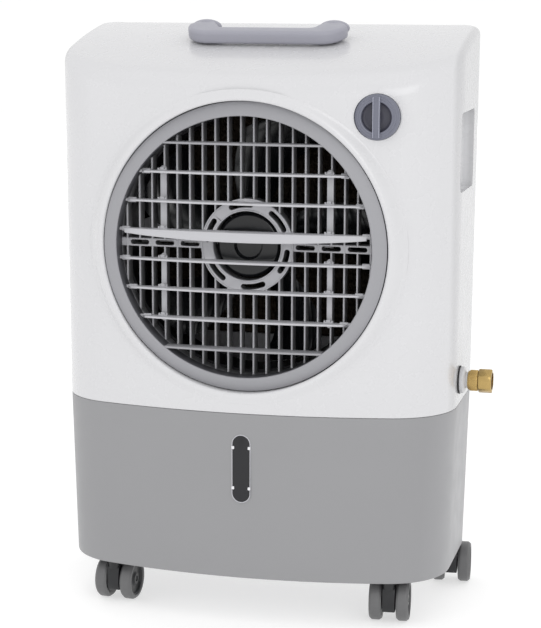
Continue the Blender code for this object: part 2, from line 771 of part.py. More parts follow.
def fan_blade_surface(bm):
    """Five twisted blade surfaces about the Y axis, open, to be thickened."""
    radii = [0.0345, 0.06, 0.09, 0.12, FAN_RADIUS]
    for blade in range(FAN_BLADES):
        turn = 2 * math.pi * blade / FAN_BLADES
        rows = []
        for radius in radii:
            t = (radius - radii[0]) / (radii[-1] - radii[0])
            pitch = math.radians(42 - 20 * t)
            chord = 0.034 + 0.062 * t
            sweep = 0.30 * t * t
            row = []
            for k in range(4):
                s = chord * (k / 3 - 0.5)
                camber = 0.006 * (1 - (2 * k / 3 - 1) ** 2)
                angle = turn + sweep + s * math.cos(pitch) / radius
                y = 0.0575 + s * math.sin(pitch) - camber
                row.append(bm.verts.new((radius * math.sin(angle), y, radius * math.cos(angle))))
            rows.append(row)
        for low, high in zip(rows, rows[1:]):
            for k in range(3):
                bm.faces.new((low[k], low[k + 1], high[k + 1], high[k]))


def fan_impeller():
    place = (0, 0, OUTLET_Z)
    blades = bmesh_object("fan_impeller", fan_blade_surface, place)
    mod = blades.modifiers.new("thickness", "SOLIDIFY")
    mod.thickness = 0.0024
    mod.offset = 0.0
    front, back = FAN_HUB_FRONT_Y, FAN_HUB_BACK_Y
    inner, bore = FAN_HUB_RADIUS - 0.003, SHAFT_RADIUS + GAP
    profile = [(0, front + 0.006), (0.015, front + 0.006), (0.0175, front),
               (0.034, front + 0.001), (FAN_HUB_RADIUS, front + 0.005), (FAN_HUB_RADIUS, back),
               (inner, back), (inner, front + 0.010), (0.009, front + 0.010), (0.009, back),
               (bore, back), (bore, SHAFT_FRONT_Y - GAP), (0, SHAFT_FRONT_Y - GAP)]
    join(blades, turned("hub_solid_tool", profile, ROUND_STEPS, place, FACING_BACK))
    finish(blades, BLACK)


def motor_parts():
    place = (0, 0, OUTLET_Z)
    shaft = [(0, SHAFT_FRONT_Y), (SHAFT_RADIUS, SHAFT_FRONT_Y), (SHAFT_RADIUS, 0.132), (0, 0.132)]
    finish(turned("motor_shaft", shaft, SMALL_STEPS, place, FACING_BACK), STEEL)
    bore = SHAFT_RADIUS + GAP
    front, back = MOTOR_FRONT_Y, MOTOR_BACK_Y
    profile = [(0, 0.134), (bore, 0.134), (bore, front - 0.006), (0.012, front - 0.006),
               (0.012, front), (0.036, front), (MOTOR_RADIUS, front + 0.008),
               (MOTOR_RADIUS, back - 0.008), (0.036, back), (0, back)]
    motor = turned("fan_motor", profile, ROUND_STEPS, place, FACING_BACK)
    finish(motor, STEEL)
    bar_y, foot_y = MOTOR_BACK_Y + GAP, SHROUD_BACK_Y + GAP
    inner = [(-0.163, foot_y), (-0.150, foot_y), (-0.146, bar_y), (0.146, bar_y),
             (0.150, foot_y), (0.163, foot_y)]
    outer = [(0.163, foot_y + 0.002), (0.152, foot_y + 0.002), (0.148, bar_y + 0.002),
             (-0.148, bar_y + 0.002), (-0.152, foot_y + 0.002), (-0.163, foot_y + 0.002)]
    bracket = flat_solid("motor_bracket", [inner + outer], 0.034, place)
    finish(bracket, STEEL)


# ---------------------------------------------------------------- control knob

def control_parts():
    place = (KNOB_X, 0, KNOB_Z)
    seat = KNOB_SEAT_Y - GAP
    profile = [(0, 0.0060), (0.0170, 0.0060), (0.0182, -0.0010), (0.0228, -0.0010),
               (0.0232, 0.0015), (KNOB_RADIUS, 0.0025), (KNOB_RADIUS, seat),
               (STEM_RADIUS, seat), (STEM_RADIUS, 0.030), (0, 0.030)]
    knob = turned("control_knob", profile, ROUND_STEPS, place, FACING_BACK)
    grip = boxes("grip_tool", [((-0.0043, -0.0020, -0.0240), (0.0043, 0.0080, 0.0240))], place)
    finish(join(knob, grip), DARK_GREY)
    low = (KNOB_X - 0.016, KNOB_SEAT_Y + WALL + GAP, KNOB_Z - 0.016)
    high = (KNOB_X + 0.016, 0.038, KNOB_Z + 0.016)
    switch = boxes("rotary_switch", [(low, high)])
    cut(switch, rods("switch_cutter", [((KNOB_X, 0.0, KNOB_Z), (KNOB_X, 0.033, KNOB_Z))],
                     STEM_RADIUS + GAP))
    finish(switch, BLACK)


# ---------------------------------------------------------------- carry handle

def handle_end(side, place):
    """Rounded end of the handle, turned about its pin."""
    length = (HANDLE_HALF - HANDLE_INSIDE) / 2
    profile = [(HANDLE_END_RADIUS * math.sin(a), length * math.cos(a))
               for a in (math.pi * i / 12 for i in range(1, 12))]
    profile = [(0, length)] + profile + [(0, -length)]
    return turned("handle_end_tool", profile, ROUND_STEPS, (side * EAR_X, *place[1:]), FACING_RIGHT)


def carry_handle():
    """Folding handle, lying forward on the top; its origin is on the pin axis."""
    place = (0, HANDLE_AXIS_Y, HANDLE_AXIS_Z)
    half, inside, corner = HANDLE_HALF, HANDLE_INSIDE, HANDLE_CORNER
    reach, bar = HANDLE_REACH, HANDLE_BAR
    outer = arc(half - corner, corner - reach, corner, -math.pi / 2, 0, 6)
    inner = arc(inside - 0.008, bar - reach + 0.008, 0.008, 0, -math.pi / 2, 3)
    right = outer + [(half - 0.007, 0.0), (inside + 0.007, 0.0)] + inner
    left = [(-x, y) for x, y in reversed(right)]
    handle = flat_solid("carry_handle", [right + left], HANDLE_THICK, place, (HANDLE_SLOPE, 0, 0))
    bevel(handle, 0.005, 2)
    join(handle, handle_end(-1, place), handle_end(1, place))
    slot = EAR_HALF_WIDTH + 2 * GAP
    slots = [((side * EAR_X - slot, -EAR_RADIUS - 2 * GAP, -0.03),
              (side * EAR_X + slot, 0.03, EAR_RADIUS + 4 * GAP)) for side in (-1, 1)]
    bores = [((side * (EAR_X - 0.0145), 0, 0), (side * (EAR_X + 0.0145), 0, 0)) for side in (-1, 1)]
    cut(handle, boxes("handle_slot_cutter", slots, place),
        rods("handle_bore_cutter", bores, HANDLE_PIN + GAP, SMALL_STEPS, place))
    finish(handle, RING_GREY)
    for side, sign in (("left", -1), ("right", 1)):
        ends = [((sign * (EAR_X - 0.014), *place[1:]), (sign * (EAR_X + 0.014), *place[1:]))]
        finish(rods(f"handle_pin_{side}", ends, HANDLE_PIN), STEEL)


# ---------------------------------------------------------------- back of the cooler

def rear_panel():
    """Slatted intake panel; its origin is on the line of its bottom hooks."""
    hinge_y = BACK_Y + GAP
    low_z, high_z = PANEL_Z
    place = (0, hinge_y, low_z)
    height = high_z - low_z
    panel = boxes("rear_panel", [((-PANEL_HALF, 0, 0), (PANEL_HALF, PANEL_DEPTH, height))], place)
    bevel(panel, 0.006, 2)
    inside = boxes("panel_cutter", [((-PANEL_HALF + WALL, -0.01, WALL),
                                     (PANEL_HALF - WALL, PANEL_DEPTH - WALL, height - WALL))], place)
    slots = []
    for row in range(16):
        z = 0.024 + row * 0.0212
        for left in (-0.194, 0.006):
            slots.append(((left, 0.03, z), (left + 0.188, 0.06, z + 0.013)))
    cut(panel, inside, boxes("slot_cutter", slots, place))
    finish(panel, WHITE)


def wet_parts():
    pad = boxes("cooling_pad", [((-PAD_HALF, PAD_Y[0], PAD_Z[0]), (PAD_HALF, PAD_Y[1], PAD_Z[1]))])
    finish(pad, PAD_BROWN)
    frame_outer = [(-0.200, 0.290), (0.200, 0.290), (0.200, 0.655), (-0.200, 0.655)]
    frame_inner = [(-0.176, 0.314), (-0.176, 0.631), (0.176, 0.631), (0.176, 0.314)]
    frame = flat_solid("pad_frame", [frame_outer, frame_inner], 0.006,
                       (0, PAD_Y[0] - GAP - 0.003, 0), OUTLINE_XZ)
    finish(frame, LIGHT_GREY)
    tray = boxes("distributor_tray", [((-0.185, 0.1805, 0.6456), (0.185, 0.2135, 0.664))])
    cut(tray, boxes("tray_cutter", [((-0.183, 0.1825, 0.6476), (0.183, 0.2115, 0.70))]))
    drips = [((x * 0.036, 0.197, 0.63), (x * 0.036, 0.197, 0.66)) for x in range(-5, 6)]
    cut(tray, rods("drip_cutter", drips, 0.002, 8))
    finish(tray, LIGHT_GREY)


def pump_parts():
    low, high = (-0.175, 0.120, 0.0585), (-0.125, 0.165, 0.118)
    pump = bevel(boxes("water_pump", [(low, high)]), 0.004)
    join(pump, rods("nozzle_tool", [((-0.150, 0.1425, 0.11), (-0.150, 0.1425, 0.130))], 0.005))
    finish(pump, BLACK)
    route = [(-0.150, 0.1425, 0.1308), (-0.150, 0.1425, 0.165), (-0.185, 0.150, 0.215),
             (-0.208, 0.157, 0.290), (-0.210, 0.157, 0.400), (-0.210, 0.157, 0.620),
             (-0.208, 0.168, 0.655), (-0.196, 0.184, 0.6745), (-0.170, 0.196, 0.6750),
             (-0.155, 0.197, 0.6665)]
    finish(tube("riser_tube", smooth_route(route), 0.0055), LIGHT_GREY)


def gland_and_plug():
    gland = [(0.0042, 0.222), (0.0066, 0.222), (0.0066, BACK_Y + GAP), (0.011, BACK_Y + GAP),
             (0.011, 0.2365), (0.0080, 0.2370), (0.0070, 0.246), (0.0042, 0.246)]
    finish(turned("power_gland", gland, SMALL_STEPS, (-0.150, 0, 0.272), FACING_BACK), BLACK)
    plug = [(0, 0.219), (0.0097, 0.219), (0.0097, 0.2302), (0.0165, 0.2302), (0.0165, 0.2385),
            (0.0150, 0.2400), (0, 0.2400)]
    place = (-0.120, 0, 0.078)
    drain = turned("drain_plug", plug, ROUND_STEPS, place, FACING_BACK)
    join(drain, boxes("plug_grip_tool", [((-0.0025, 0.235, -0.013), (0.0025, 0.246, 0.013))], place))
    finish(drain, BLACK)


# ---------------------------------------------------------------- hose inlet

def inlet_parts():
    """Turned parts on an axis along X through the right side wall."""
    place = (0, INLET_Y, INLET_Z)
    wall = INLET_WALL_X + GAP
    base = wall + 0.0012
    gasket = [(0.0078, wall), (0.0168, wall), (0.0168, base), (0.0078, base)]
    finish(turned("inlet_gasket", gasket, ROUND_STEPS, place, FACING_RIGHT), RUBBER)
    base += GAP
    flange = [(0.0078, base), (0.0158, base), (0.0160, base + 0.0040), (0.0125, base + 0.0062),
              (0.0095, base + 0.0070), (0.0095, base + 0.0090), (0.0078, base + 0.0090)]
    finish(turned("inlet_flange", flange, ROUND_STEPS, place, FACING_RIGHT), WHITE)
    neck = base + 0.0090 + GAP
    body = [(0.0045, 0.2150), (0.0073, 0.2150), (0.0073, neck), (0.0116, neck),
            (0.0120, neck + 0.0006), (0.0120, neck + 0.0120), (0.0098, neck + 0.0120),
            (0.0098, neck + 0.0220), (0.0045, neck + 0.0220)]
    finish(turned("inlet_body", body, ROUND_STEPS, place, FACING_RIGHT), BRASS)
    nut_back = neck + 0.0120 + GAP
    nut = bmesh_object("swivel_nut", lambda bm: bmesh.ops.create_cone(
        bm, cap_ends=True, segments=6, radius1=0.0145, radius2=0.0145, depth=INLET_END_X - nut_back,
        matrix=Matrix.Rotation(math.radians(90), 4, "Y")),
        ((nut_back + INLET_END_X) / 2, INLET_Y, INLET_Z))
    bevel(nut, 0.0008, 1)
    bore = rods("nut_cutter", [((-0.03, 0, 0), (0.03, 0, 0))], 0.0102, ROUND_STEPS, nut.location)
    finish(cut(nut, bore), BRASS)


def float_parts():
    """Float valve on the inner end of the inlet, with a hinged arm and its float."""
    y, z = INLET_Y, INLET_Z
    axis = (0.187, y, z - 0.021)
    valve = boxes("float_valve", [((0.1900, y - 0.010, z - 0.010), (0.2147, y + 0.010, z + 0.012))])
    fork = boxes("fork_tool", [((0.1820, y - 0.007, z - 0.0255), (0.1960, y - 0.0035, z - 0.008)),
                               ((0.1820, y + 0.0035, z - 0.0255), (0.1960, y + 0.007, z - 0.008))])
    join(valve, fork)
    cut(valve, rods("valve_cutter", [((axis[0], y - 0.014, axis[2]), (axis[0], y + 0.016, axis[2]))],
                    0.0021, 12))
    finish(bevel(valve, 0.0008, 1, 60), LIGHT_GREY)
    arm = tube("float_arm", [(-0.003, 0, 0), (-0.012, 0, -0.003), (-0.028, 0, -0.014),
                             (-0.046, 0, -0.030), (-0.058, 0, -0.040)], 0.0018, axis)
    join(arm, rods("arm_pin_tool", [((0, -0.0085, 0), (0, 0.0085, 0))], 0.0018, 12, axis))
    join(arm, rods("arm_eye_tool", [((0, -0.0032, 0), (0, 0.0032, 0))], 0.0042, 12, axis))
    finish(arm, BRASS)
    ball = [(0, -0.017), (0.010, -0.0165), (0.020, -0.012), (0.024, -0.004), (0.024, 0.004),
            (0.020, 0.012), (0.010, 0.0165), (0, 0.017)]
    centre = (axis[0] - 0.071, axis[1], axis[2] - 0.0585)
    finish(turned("float_ball", ball, ROUND_STEPS, centre), FLOAT_RED)


# ---------------------------------------------------------------- casters

def caster_web():
    """Side outline of the body between the wheels; the axle is at 0, 0."""
    crown = arc(0, 0, 0.0275, math.radians(35), math.radians(140), 6)
    nose = [(-0.0225, 0.010), (-0.0225, -0.004), (-0.019, -0.0105), (-0.006, -0.0105)]
    return crown + nose + arc(0, 0, 0.0070, math.radians(-60), math.radians(20), 4)


def caster(name, stem_x, stem_y, yaw):
    """Twin-wheel caster behind its stem; the empty is on the swivel axis."""
    swivel = bpy.data.objects.new(f"caster_{name}_swivel", None)
    swivel.location = (stem_x, stem_y, 0)
    swivel.rotation_euler = (0, 0, yaw)
    swivel.parent = FRAME
    PARTS.objects.link(swivel)
    axle = (0, CASTER_TRAIL, CASTER_WHEEL)
    frame = flat_solid(f"caster_{name}_frame", [caster_web()], 0.0150, axle, OUTLINE_YZ)
    stem = turned("stem_tool", [(0, STEM_TOP_Z), (CASTER_STEM, STEM_TOP_Z), (CASTER_STEM, 0.0540),
                                (0.0095, 0.0540), (0.0095, 0.0510), (0.0070, 0.0500),
                                (0.0070, 0.0420), (0, 0.0420)], SMALL_STEPS)
    pin = rods("axle_tool", [((-0.0215, 0, 0), (0.0215, 0, 0))], 0.0030, 16, axle)
    for piece in (frame, stem, pin):
        piece.parent = swivel
    finish(join(frame, stem, pin), BLACK)
    half = CASTER_WHEEL_WIDTH / 2
    half_step = math.pi / WHEEL_STEPS
    radius = CASTER_WHEEL / math.cos(half_step)
    tread = [(0.0033, -half), (0.0225, -half), (radius, -half + 0.003),
             (radius, half - 0.003), (0.0225, half), (0.0192, half),
             (0.0188, half - 0.003), (0.0033, half - 0.003)]
    for side, sign in (("left", -1), ("right", 1)):
        place = (sign * CASTER_WHEEL_OFFSET, CASTER_TRAIL, CASTER_WHEEL)
        wheel = turned(f"caster_{name}_wheel_{side}", tread, WHEEL_STEPS, place,
                       (0, math.radians(90) * sign, 0), half_step)
        wheel.parent = swivel
        finish(wheel, RUBBER)


# ---------------------------------------------------------------- build

clear_scene()
PARTS = new_collection("evaporative_cooler")
CUTTERS = new_collection("cutters")
FRAME = new_frame_empty()

upper_housing()
water_tank()
level_parts()
bezel_ring()
outlet_blades()
front_guard()
fan_shroud()
fan_impeller()
motor_parts()
control_parts()
carry_handle()
rear_panel()
wet_parts()
pump_parts()
gland_and_plug()
inlet_parts()
float_parts()
for caster_name, caster_place in CASTER_STEMS.items():
    caster(caster_name, *caster_place)
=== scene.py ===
"""Looks of the portable evaporative cooler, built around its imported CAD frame.

Every piece is made in the cooler's own frame: X is 0 on the body's plane of symmetry, Y is 0 on
the outer edge of the outlet ring and grows towards the back, Z is 0 on the floor. place() then
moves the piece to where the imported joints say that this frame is. All sizes are in metres.
"""
import json
import math

import bmesh
import bpy
from mathutils import Matrix, Vector


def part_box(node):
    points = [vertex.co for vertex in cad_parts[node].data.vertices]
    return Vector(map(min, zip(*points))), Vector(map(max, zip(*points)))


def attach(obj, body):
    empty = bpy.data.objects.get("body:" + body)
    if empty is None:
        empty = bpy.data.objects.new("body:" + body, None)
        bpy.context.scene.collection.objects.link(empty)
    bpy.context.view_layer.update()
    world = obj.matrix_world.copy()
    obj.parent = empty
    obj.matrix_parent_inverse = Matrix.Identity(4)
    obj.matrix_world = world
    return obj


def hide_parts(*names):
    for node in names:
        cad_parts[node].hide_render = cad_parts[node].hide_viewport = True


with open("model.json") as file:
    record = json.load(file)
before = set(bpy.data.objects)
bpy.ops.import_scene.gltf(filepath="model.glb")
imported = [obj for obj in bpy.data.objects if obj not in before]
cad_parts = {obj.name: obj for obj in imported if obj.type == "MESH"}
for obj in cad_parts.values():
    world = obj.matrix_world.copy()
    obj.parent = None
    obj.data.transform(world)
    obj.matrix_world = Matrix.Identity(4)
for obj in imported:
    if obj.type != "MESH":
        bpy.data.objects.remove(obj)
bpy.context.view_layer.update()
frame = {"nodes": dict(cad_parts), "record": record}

JOINTS = {joint["name"]: joint for joint in frame["record"]["behaviour"]["joints"]}
FAN_CENTRE = Vector(JOINTS["fan_spin"]["pos_m"])
BODY = Vector((FAN_CENTRE.x, JOINTS["knob_turn"]["pos_m"][1], 0.0))
OUTLET_Z = FAN_CENTRE.z


def joint_place(name):
    """A joint's position in the cooler's own frame."""
    return Vector(JOINTS[name]["pos_m"]) - BODY


SIDES = (("left", -1), ("right", 1))

# Body in plan and height, as in the CAD but for the tank's bottom, which the photo shows 1.7 mm lower
HALF_WIDTH = 0.2373
CROWN_RADIUS = 0.770
CROWN_FRONT_Y = -0.0092
FRONT_CORNER = 0.080
BACK_Y = 0.232
BACK_CORNER = 0.034
PLAN_CENTRE_Y = 0.115
TANK_BOTTOM_Z = 0.0533
TANK_SCALE_AT_BOTTOM = 0.978
SEAM_Z = 0.253
HOUSING_FLARE = 0.033
TOP_ARC_RADIUS = 0.870
TOP_ARC_Y = 0.321
TOP_ARC_Z = -0.1663
FRONT_EDGE_ROUND = 0.025
SIDE_EDGE_ROUND = 0.010
BACK_EDGE_ROUND = 0.025
WALL = 0.003

# Outlet
RING_OUTER = 0.1677
RING_INNER = 0.1512
COLLAR_INNER = 0.1686
COLLAR_BACK_Y = 0.0374
SLAT_PITCH = 0.0341
SLAT_THICK = 0.0025
SLAT_BACK_Y = 0.011
SLAT_FRONT_Y = -0.010
SLAT_BOW = 0.013
LINK_X = 0.099
GUARD_FRONT_Y = 0.0175
GUARD_BACK_Y = 0.036
RIB_PITCH = 0.0153
RIB_COUNT = 20

# Camera: offset from the outlet's centre, heading, tilt and roll
CAMERA_OFFSET = Vector((0.54652, -2.07638, 0.30090))
CAMERA_YAW = math.radians(13.90)
CAMERA_PITCH = math.radians(-9.978)
CAMERA_ROLL = math.radians(0.186)
CAMERA_LENS = 108.22


# ---- curves and outlines

def arc(cx, cy, radius, start, end, count):
    """Points on a circle, angles in radians, ends included."""
    angles = [start + (end - start) * i / count for i in range(count + 1)]
    return [(cx + radius * math.cos(a), cy + radius * math.sin(a)) for a in angles]


def rounded(corners, steps=5, closed=True):
    """Corners (a, b, radius) as an outline with an arc at each corner that has a radius."""
    outline = []
    count = len(corners)
    for i, (a, b, radius) in enumerate(corners):
        if not radius or (not closed and i in (0, count - 1)):
            outline.append((a, b))
            continue
        point = Vector((a, b))
        before = (Vector(corners[i - 1][:2]) - point).normalized()
        after = (Vector(corners[(i + 1) % count][:2]) - point).normalized()
        half = before.angle(after) / 2
        centre = point + (before + after).normalized() * (radius / math.sin(half))
        first = point + before * (radius / math.tan(half)) - centre
        last = point + after * (radius / math.tan(half)) - centre
        span = first.angle(last)
        for k in range(steps + 1):
            t = k / steps
            spoke = (first * math.sin((1 - t) * span) + last * math.sin(t * span)) / math.sin(span)
            outline.append(tuple(centre + spoke))
    return outline


def quarter(count):
    """Angles of a quarter turn, ends included."""
    return [math.pi / 2 * i / count for i in range(count + 1)]


def spread(reach, count):
    """Places from -reach to reach, ends included."""
    return [-reach + 2 * reach * i / count for i in range(count + 1)]


def eased(t):
    """Smooth step from 0 to 1."""
    return t * t * (3 - 2 * t)


def stadium(width, height, count=16):
    radius = width / 2
    top = arc(0, height / 2 - radius, radius, 0, math.pi, count)
    bottom = arc(0, radius - height / 2, radius, math.pi, 2 * math.pi, count)
    return top + bottom


def arc_slot(middle, span, radius, width, count=8):
    """Curved slot with round ends on a circle about the origin."""
    start, end = middle - span / 2, middle + span / 2
    half = width / 2
    outer = arc(0, 0, radius + half, start, end, count)
    inner = arc(0, 0, radius - half, end, start, count)
    cap_end = arc(radius * math.cos(end), radius * math.sin(end), half, end, end + math.pi, 6)
    cap_start = arc(radius * math.cos(start), radius * math.sin(start), half,
                    start + math.pi, start + 2 * math.pi, 6)
    return outer + cap_end[1:-1] + inner + cap_start[1:-1]


# ---- mesh helpers

def new_object(name, mesh):
    obj = bpy.data.objects.new(name, mesh)
    bpy.context.scene.collection.objects.link(obj)
    return obj


def grid(name, rows, wrap=True, caps=(False, False)):
    """Surface through rows of points; wrap joins each row's ends, and caps close the rows."""
    bm = bmesh.new()
    verts = [[bm.verts.new(p) for p in row] for row in rows]
    last = 0 if wrap else 1
    for low, high in zip(verts, verts[1:]):
        for i in range(len(low) - last):
            j = (i + 1) % len(low)
            bm.faces.new((low[i], low[j], high[j], high[i]))
    if caps[0]:
        bm.faces.new(verts[0][::-1])
    if caps[1]:
        bm.faces.new(verts[-1])
    bmesh.ops.remove_doubles(bm, verts=bm.verts, dist=1e-6)
    bmesh.ops.recalc_face_normals(bm, faces=bm.faces)
    return from_bmesh(name, bm)


def from_bmesh(name, bm):
    mesh = bpy.data.meshes.new(name)
    bm.to_mesh(mesh)
    bm.free()
    return new_object(name, mesh)


AXES = {
    "X": lambda r, h, a: (h, -r * math.cos(a), r * math.sin(a)),
    "Y": lambda r, h, a: (r * math.cos(a), h, r * math.sin(a)),
    "Z": lambda r, h, a: (r * math.cos(a), r * math.sin(a), h),
}


def lathe(name, profile, centre=(0, 0, 0), axis="Y", steps=96, closed=True):
    """Surface of revolution from (radius, height) points about an axis through centre."""
    points = list(profile) + ([profile[0]] if closed else [])
    turn = AXES[axis]
    rows = []
    for radius, height in points:
        row = [turn(radius, height, 2 * math.pi * i / steps) for i in range(steps)]
        rows.append([tuple(c + p for c, p in zip(centre, point)) for point in row])
    return grid(name, rows)


def plate(name, loops, thickness, place=Matrix.Identity(4)):
    """Outline with optional holes in local XY, thickness along Z, then placed by a matrix."""
    curve = bpy.data.curves.new(name, "CURVE")
    curve.dimensions = "2D"
    curve.fill_mode = "BOTH"
    curve.extrude = thickness / 2
    for loop in loops:
        spline = curve.splines.new("POLY")
        spline.points.add(len(loop) - 1)
        for point, (x, y) in zip(spline.points, loop):
            point.co = (x, y, 0.0, 1.0)
        spline.use_cyclic_u = True
    guide = new_object(name + "_guide", curve)
    bpy.context.view_layer.update()
    evaluated = guide.evaluated_get(bpy.context.evaluated_depsgraph_get())
    mesh = bpy.data.meshes.new_from_object(evaluated)
    bpy.data.objects.remove(guide)
    bm = bmesh.new()
    bm.from_mesh(mesh)
    bmesh.ops.remove_doubles(bm, verts=bm.verts, dist=1e-6)
    bmesh.ops.dissolve_limit(bm, angle_limit=0.001, verts=bm.verts, edges=bm.edges)
    bmesh.ops.recalc_face_normals(bm, faces=bm.faces)
    bmesh.ops.transform(bm, matrix=place, verts=bm.verts)
    return from_bmesh(name, bm)


def facing_front(x=0.0, y=0.0, z=0.0):
    """Matrix that stands a plate up: local X stays X, local Y becomes Z."""
    return Matrix.Translation((x, y, z)) @ Matrix.Rotation(math.radians(90), 4, "X")


def facing_side(x=0.0, y=0.0, z=0.0):
    """Matrix that turns a plate to the side: local X becomes Y, local Y becomes Z."""
    return (Matrix.Translation((x, y, z)) @ Matrix.Rotation(math.radians(90), 4, "Z")
            @ Matrix.Rotation(math.radians(90), 4, "X"))


def block(name, low, high, edge=0.0, segments=3):
    """Box between two corners with rounded edges."""
    bm = bmesh.new()
    size = [b - a for a, b in zip(low, high)]
    centre = [(a + b) / 2 for a, b in zip(low, high)]
    bmesh.ops.create_cube(bm, size=1.0,
                          matrix=Matrix.Translation(centre) @ Matrix.Diagonal((*size, 1.0)))
    if edge:
        bmesh.ops.bevel(bm, geom=bm.edges, offset=edge, segments=segments, profile=0.5,
                        affect="EDGES")
    return from_bmesh(name, bm)


def apply_modifiers(obj):
    bpy.context.view_layer.update()
    evaluated = obj.evaluated_get(bpy.context.evaluated_depsgraph_get())
    mesh = bpy.data.meshes.new_from_object(evaluated)
    obj.modifiers.clear()
    obj.data = mesh
    return obj


def soften(obj, width, segments=2, angle=35):
    """Round the edges that are sharper than an angle."""
    mod = obj.modifiers.new("edge_round", "BEVEL")
    mod.width = width
    mod.segments = segments
    mod.limit_method = "ANGLE"
    mod.angle_limit = math.radians(angle)
    mod.use_clamp_overlap = True
    return apply_modifiers(obj)


def walled(skin):
    """Give a skin its wall, on the inner side."""
    mod = skin.modifiers.new("wall", "SOLIDIFY")
    mod.thickness = WALL
    mod.offset = -1.0
    return apply_modifiers(skin)


def boolean(obj, operation, *tools):
    for tool in tools:
        mod = obj.modifiers.new(operation.lower(), "BOOLEAN")
        mod.operation = operation
        mod.solver = "EXACT"
        mod.object = tool
    apply_modifiers(obj)
    for tool in tools:
        bpy.data.objects.remove(tool)
    return obj


def cut(obj, *tools):
    return boolean(obj, "DIFFERENCE", *tools)


def join(obj, *tools):
    return boolean(obj, "UNION", *tools)


def merge(obj, *others):
    """Add other objects' meshes to this one without a Boolean."""
    bm = bmesh.new()
    bm.from_mesh(obj.data)
    for other in others:
        bm.from_mesh(other.data)
        bpy.data.objects.remove(other)
    bm.to_mesh(obj.data)
    bm.free()
    return obj


def rod(name, start, end, radius, steps=32, edge=0.0):
    """Cylinder along an axis direction, with an optional rounded rim."""
    span = Vector(end) - Vector(start)
    axis = max(range(3), key=lambda k: abs(span[k]))
    length = abs(span[axis])
    rim = [(0, 0, 0), (radius, 0, edge), (radius, length, edge), (0, length, 0)]
    profile = rounded(rim, 3, closed=False) if edge else [c[:2] for c in rim]
    low = start if span[axis] > 0 else end
    return lathe(name, profile, low, "XYZ"[axis], steps, closed=False)


def place(obj, body, look, stands_for=(), angle=35):
    """Shade, colour and hang a finished piece on its CAD body."""
    if isinstance(stands_for, str):
        stands_for = (stands_for,)
    slot_name, mat = LOOKS[look]
    obj.data.materials.clear()
    obj.data.materials.append(mat)
    obj.data.shade_smooth()
    obj.data.set_sharp_from_angle(angle=math.radians(angle))
    obj.location = obj.location + BODY
    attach(obj, body)
    if stands_for:
        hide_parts(*stands_for)
    return obj


# ---- materials

def set_inputs(node, values):
    for name, value in values.items():
        node.inputs[name].default_value = value


def surface(name, colour, roughness, variation=0.02, patch=7.0, grain=900.0, bump=0.05,
            depth=0.0002, gloss_spread=0.04, metallic=0.0, coat=0.0, stretch=(1, 1, 1), shade=None):
    """Procedural finish: broad colour variation, a fine grain in the bump and uneven gloss.

    The last argument (start, end, factor) paints light or shade into the colour: it scales the colour from
    1 to the factor between two depths, a factor below 1 for painted shade and above 1 for painted light.
    With "X" as a fourth value it goes by the distance from the plane of symmetry instead.
    """
    mat = bpy.data.materials.new(name)
    mat.use_nodes = True
    nodes, links = mat.node_tree.nodes, mat.node_tree.links
    shader = nodes["Principled BSDF"]
    set_inputs(shader, {"Metallic": metallic, "Coat Weight": coat, "Coat Roughness": 0.06})
    coords = nodes.new("ShaderNodeTexCoord")
    mapping = nodes.new("ShaderNodeMapping")
    set_inputs(mapping, {"Scale": stretch})
    links.new(coords.outputs["Object"], mapping.inputs["Vector"])

    def noise(scale, detail):
        node = nodes.new("ShaderNodeTexNoise")
        set_inputs(node, {"Scale": scale, "Detail": detail})
        links.new(mapping.outputs["Vector"], node.inputs["Vector"])
        return node

    broad = noise(patch, 3.0)
    ramp = nodes.new("ShaderNodeValToRGB")
    dark, light = ramp.color_ramp.elements
    dark.position, light.position = 0.3, 0.7
    dark.color = (*[c * (1 - variation) for c in colour], 1.0)
    light.color = (*[min(1.0, c * (1 + variation)) for c in colour], 1.0)
    links.new(broad.outputs["Fac"], ramp.inputs["Fac"])
    tint = ramp.outputs["Color"]
    # Painted light and shade: the colour is scaled along one axis of the frame, not lit
    if shade:
        tint = shaded(nodes, links, coords, tint, shade)
    links.new(tint, shader.inputs["Base Color"])
    uneven = noise(patch * 6, 4.0)
    span = nodes.new("ShaderNodeMapRange")
    set_inputs(span, {"From Min": 0.3, "From Max": 0.7, "To Max": roughness + gloss_spread,
                      "To Min": max(0.02, roughness - gloss_spread)})
    links.new(uneven.outputs["Fac"], span.inputs["Value"])
    links.new(span.outputs["Result"], shader.inputs["Roughness"])
    fine = noise(grain, 2.0)
    relief = nodes.new("ShaderNodeBump")
    set_inputs(relief, {"Strength": bump, "Distance": depth})
    links.new(fine.outputs["Fac"], relief.inputs["Height"])
    links.new(relief.outputs["Normal"], shader.inputs["Normal"])
    return mat


def shaded(nodes, links, coords, tint, shade):
    """Painted light and shade: colour scaled along one axis of the cooler's own frame, as surface()
    describes.
    """
    split = nodes.new("ShaderNodeSeparateXYZ")
    links.new(coords.outputs["Object"], split.inputs["Vector"])
    depth = nodes.new("ShaderNodeMapRange")
    set_inputs(depth, {"From Min": shade[0], "From Max": shade[1], "To Min": 1.0,
                       "To Max": shade[2]})
    if len(shade) > 3:
        side = nodes.new("ShaderNodeMath")
        side.operation = "ABSOLUTE"
        links.new(split.outputs[shade[3]], side.inputs[0])
        links.new(side.outputs[0], depth.inputs["Value"])
    else:
        links.new(split.outputs["Y"], depth.inputs["Value"])
    scale = nodes.new("ShaderNodeVectorMath")
    scale.operation = "SCALE"
    links.new(tint, scale.inputs["Vector"])
    links.new(depth.outputs["Result"], scale.inputs["Scale"])
    return scale.outputs["Vector"]


def linear(red, green, blue):
    """Linear colour from 0-255 display values."""
    def one(value):
        value /= 255
        return value / 12.92 if value <= 0.04045 else ((value + 0.055) / 1.055) ** 2.4
    return one(red), one(green), one(blue)


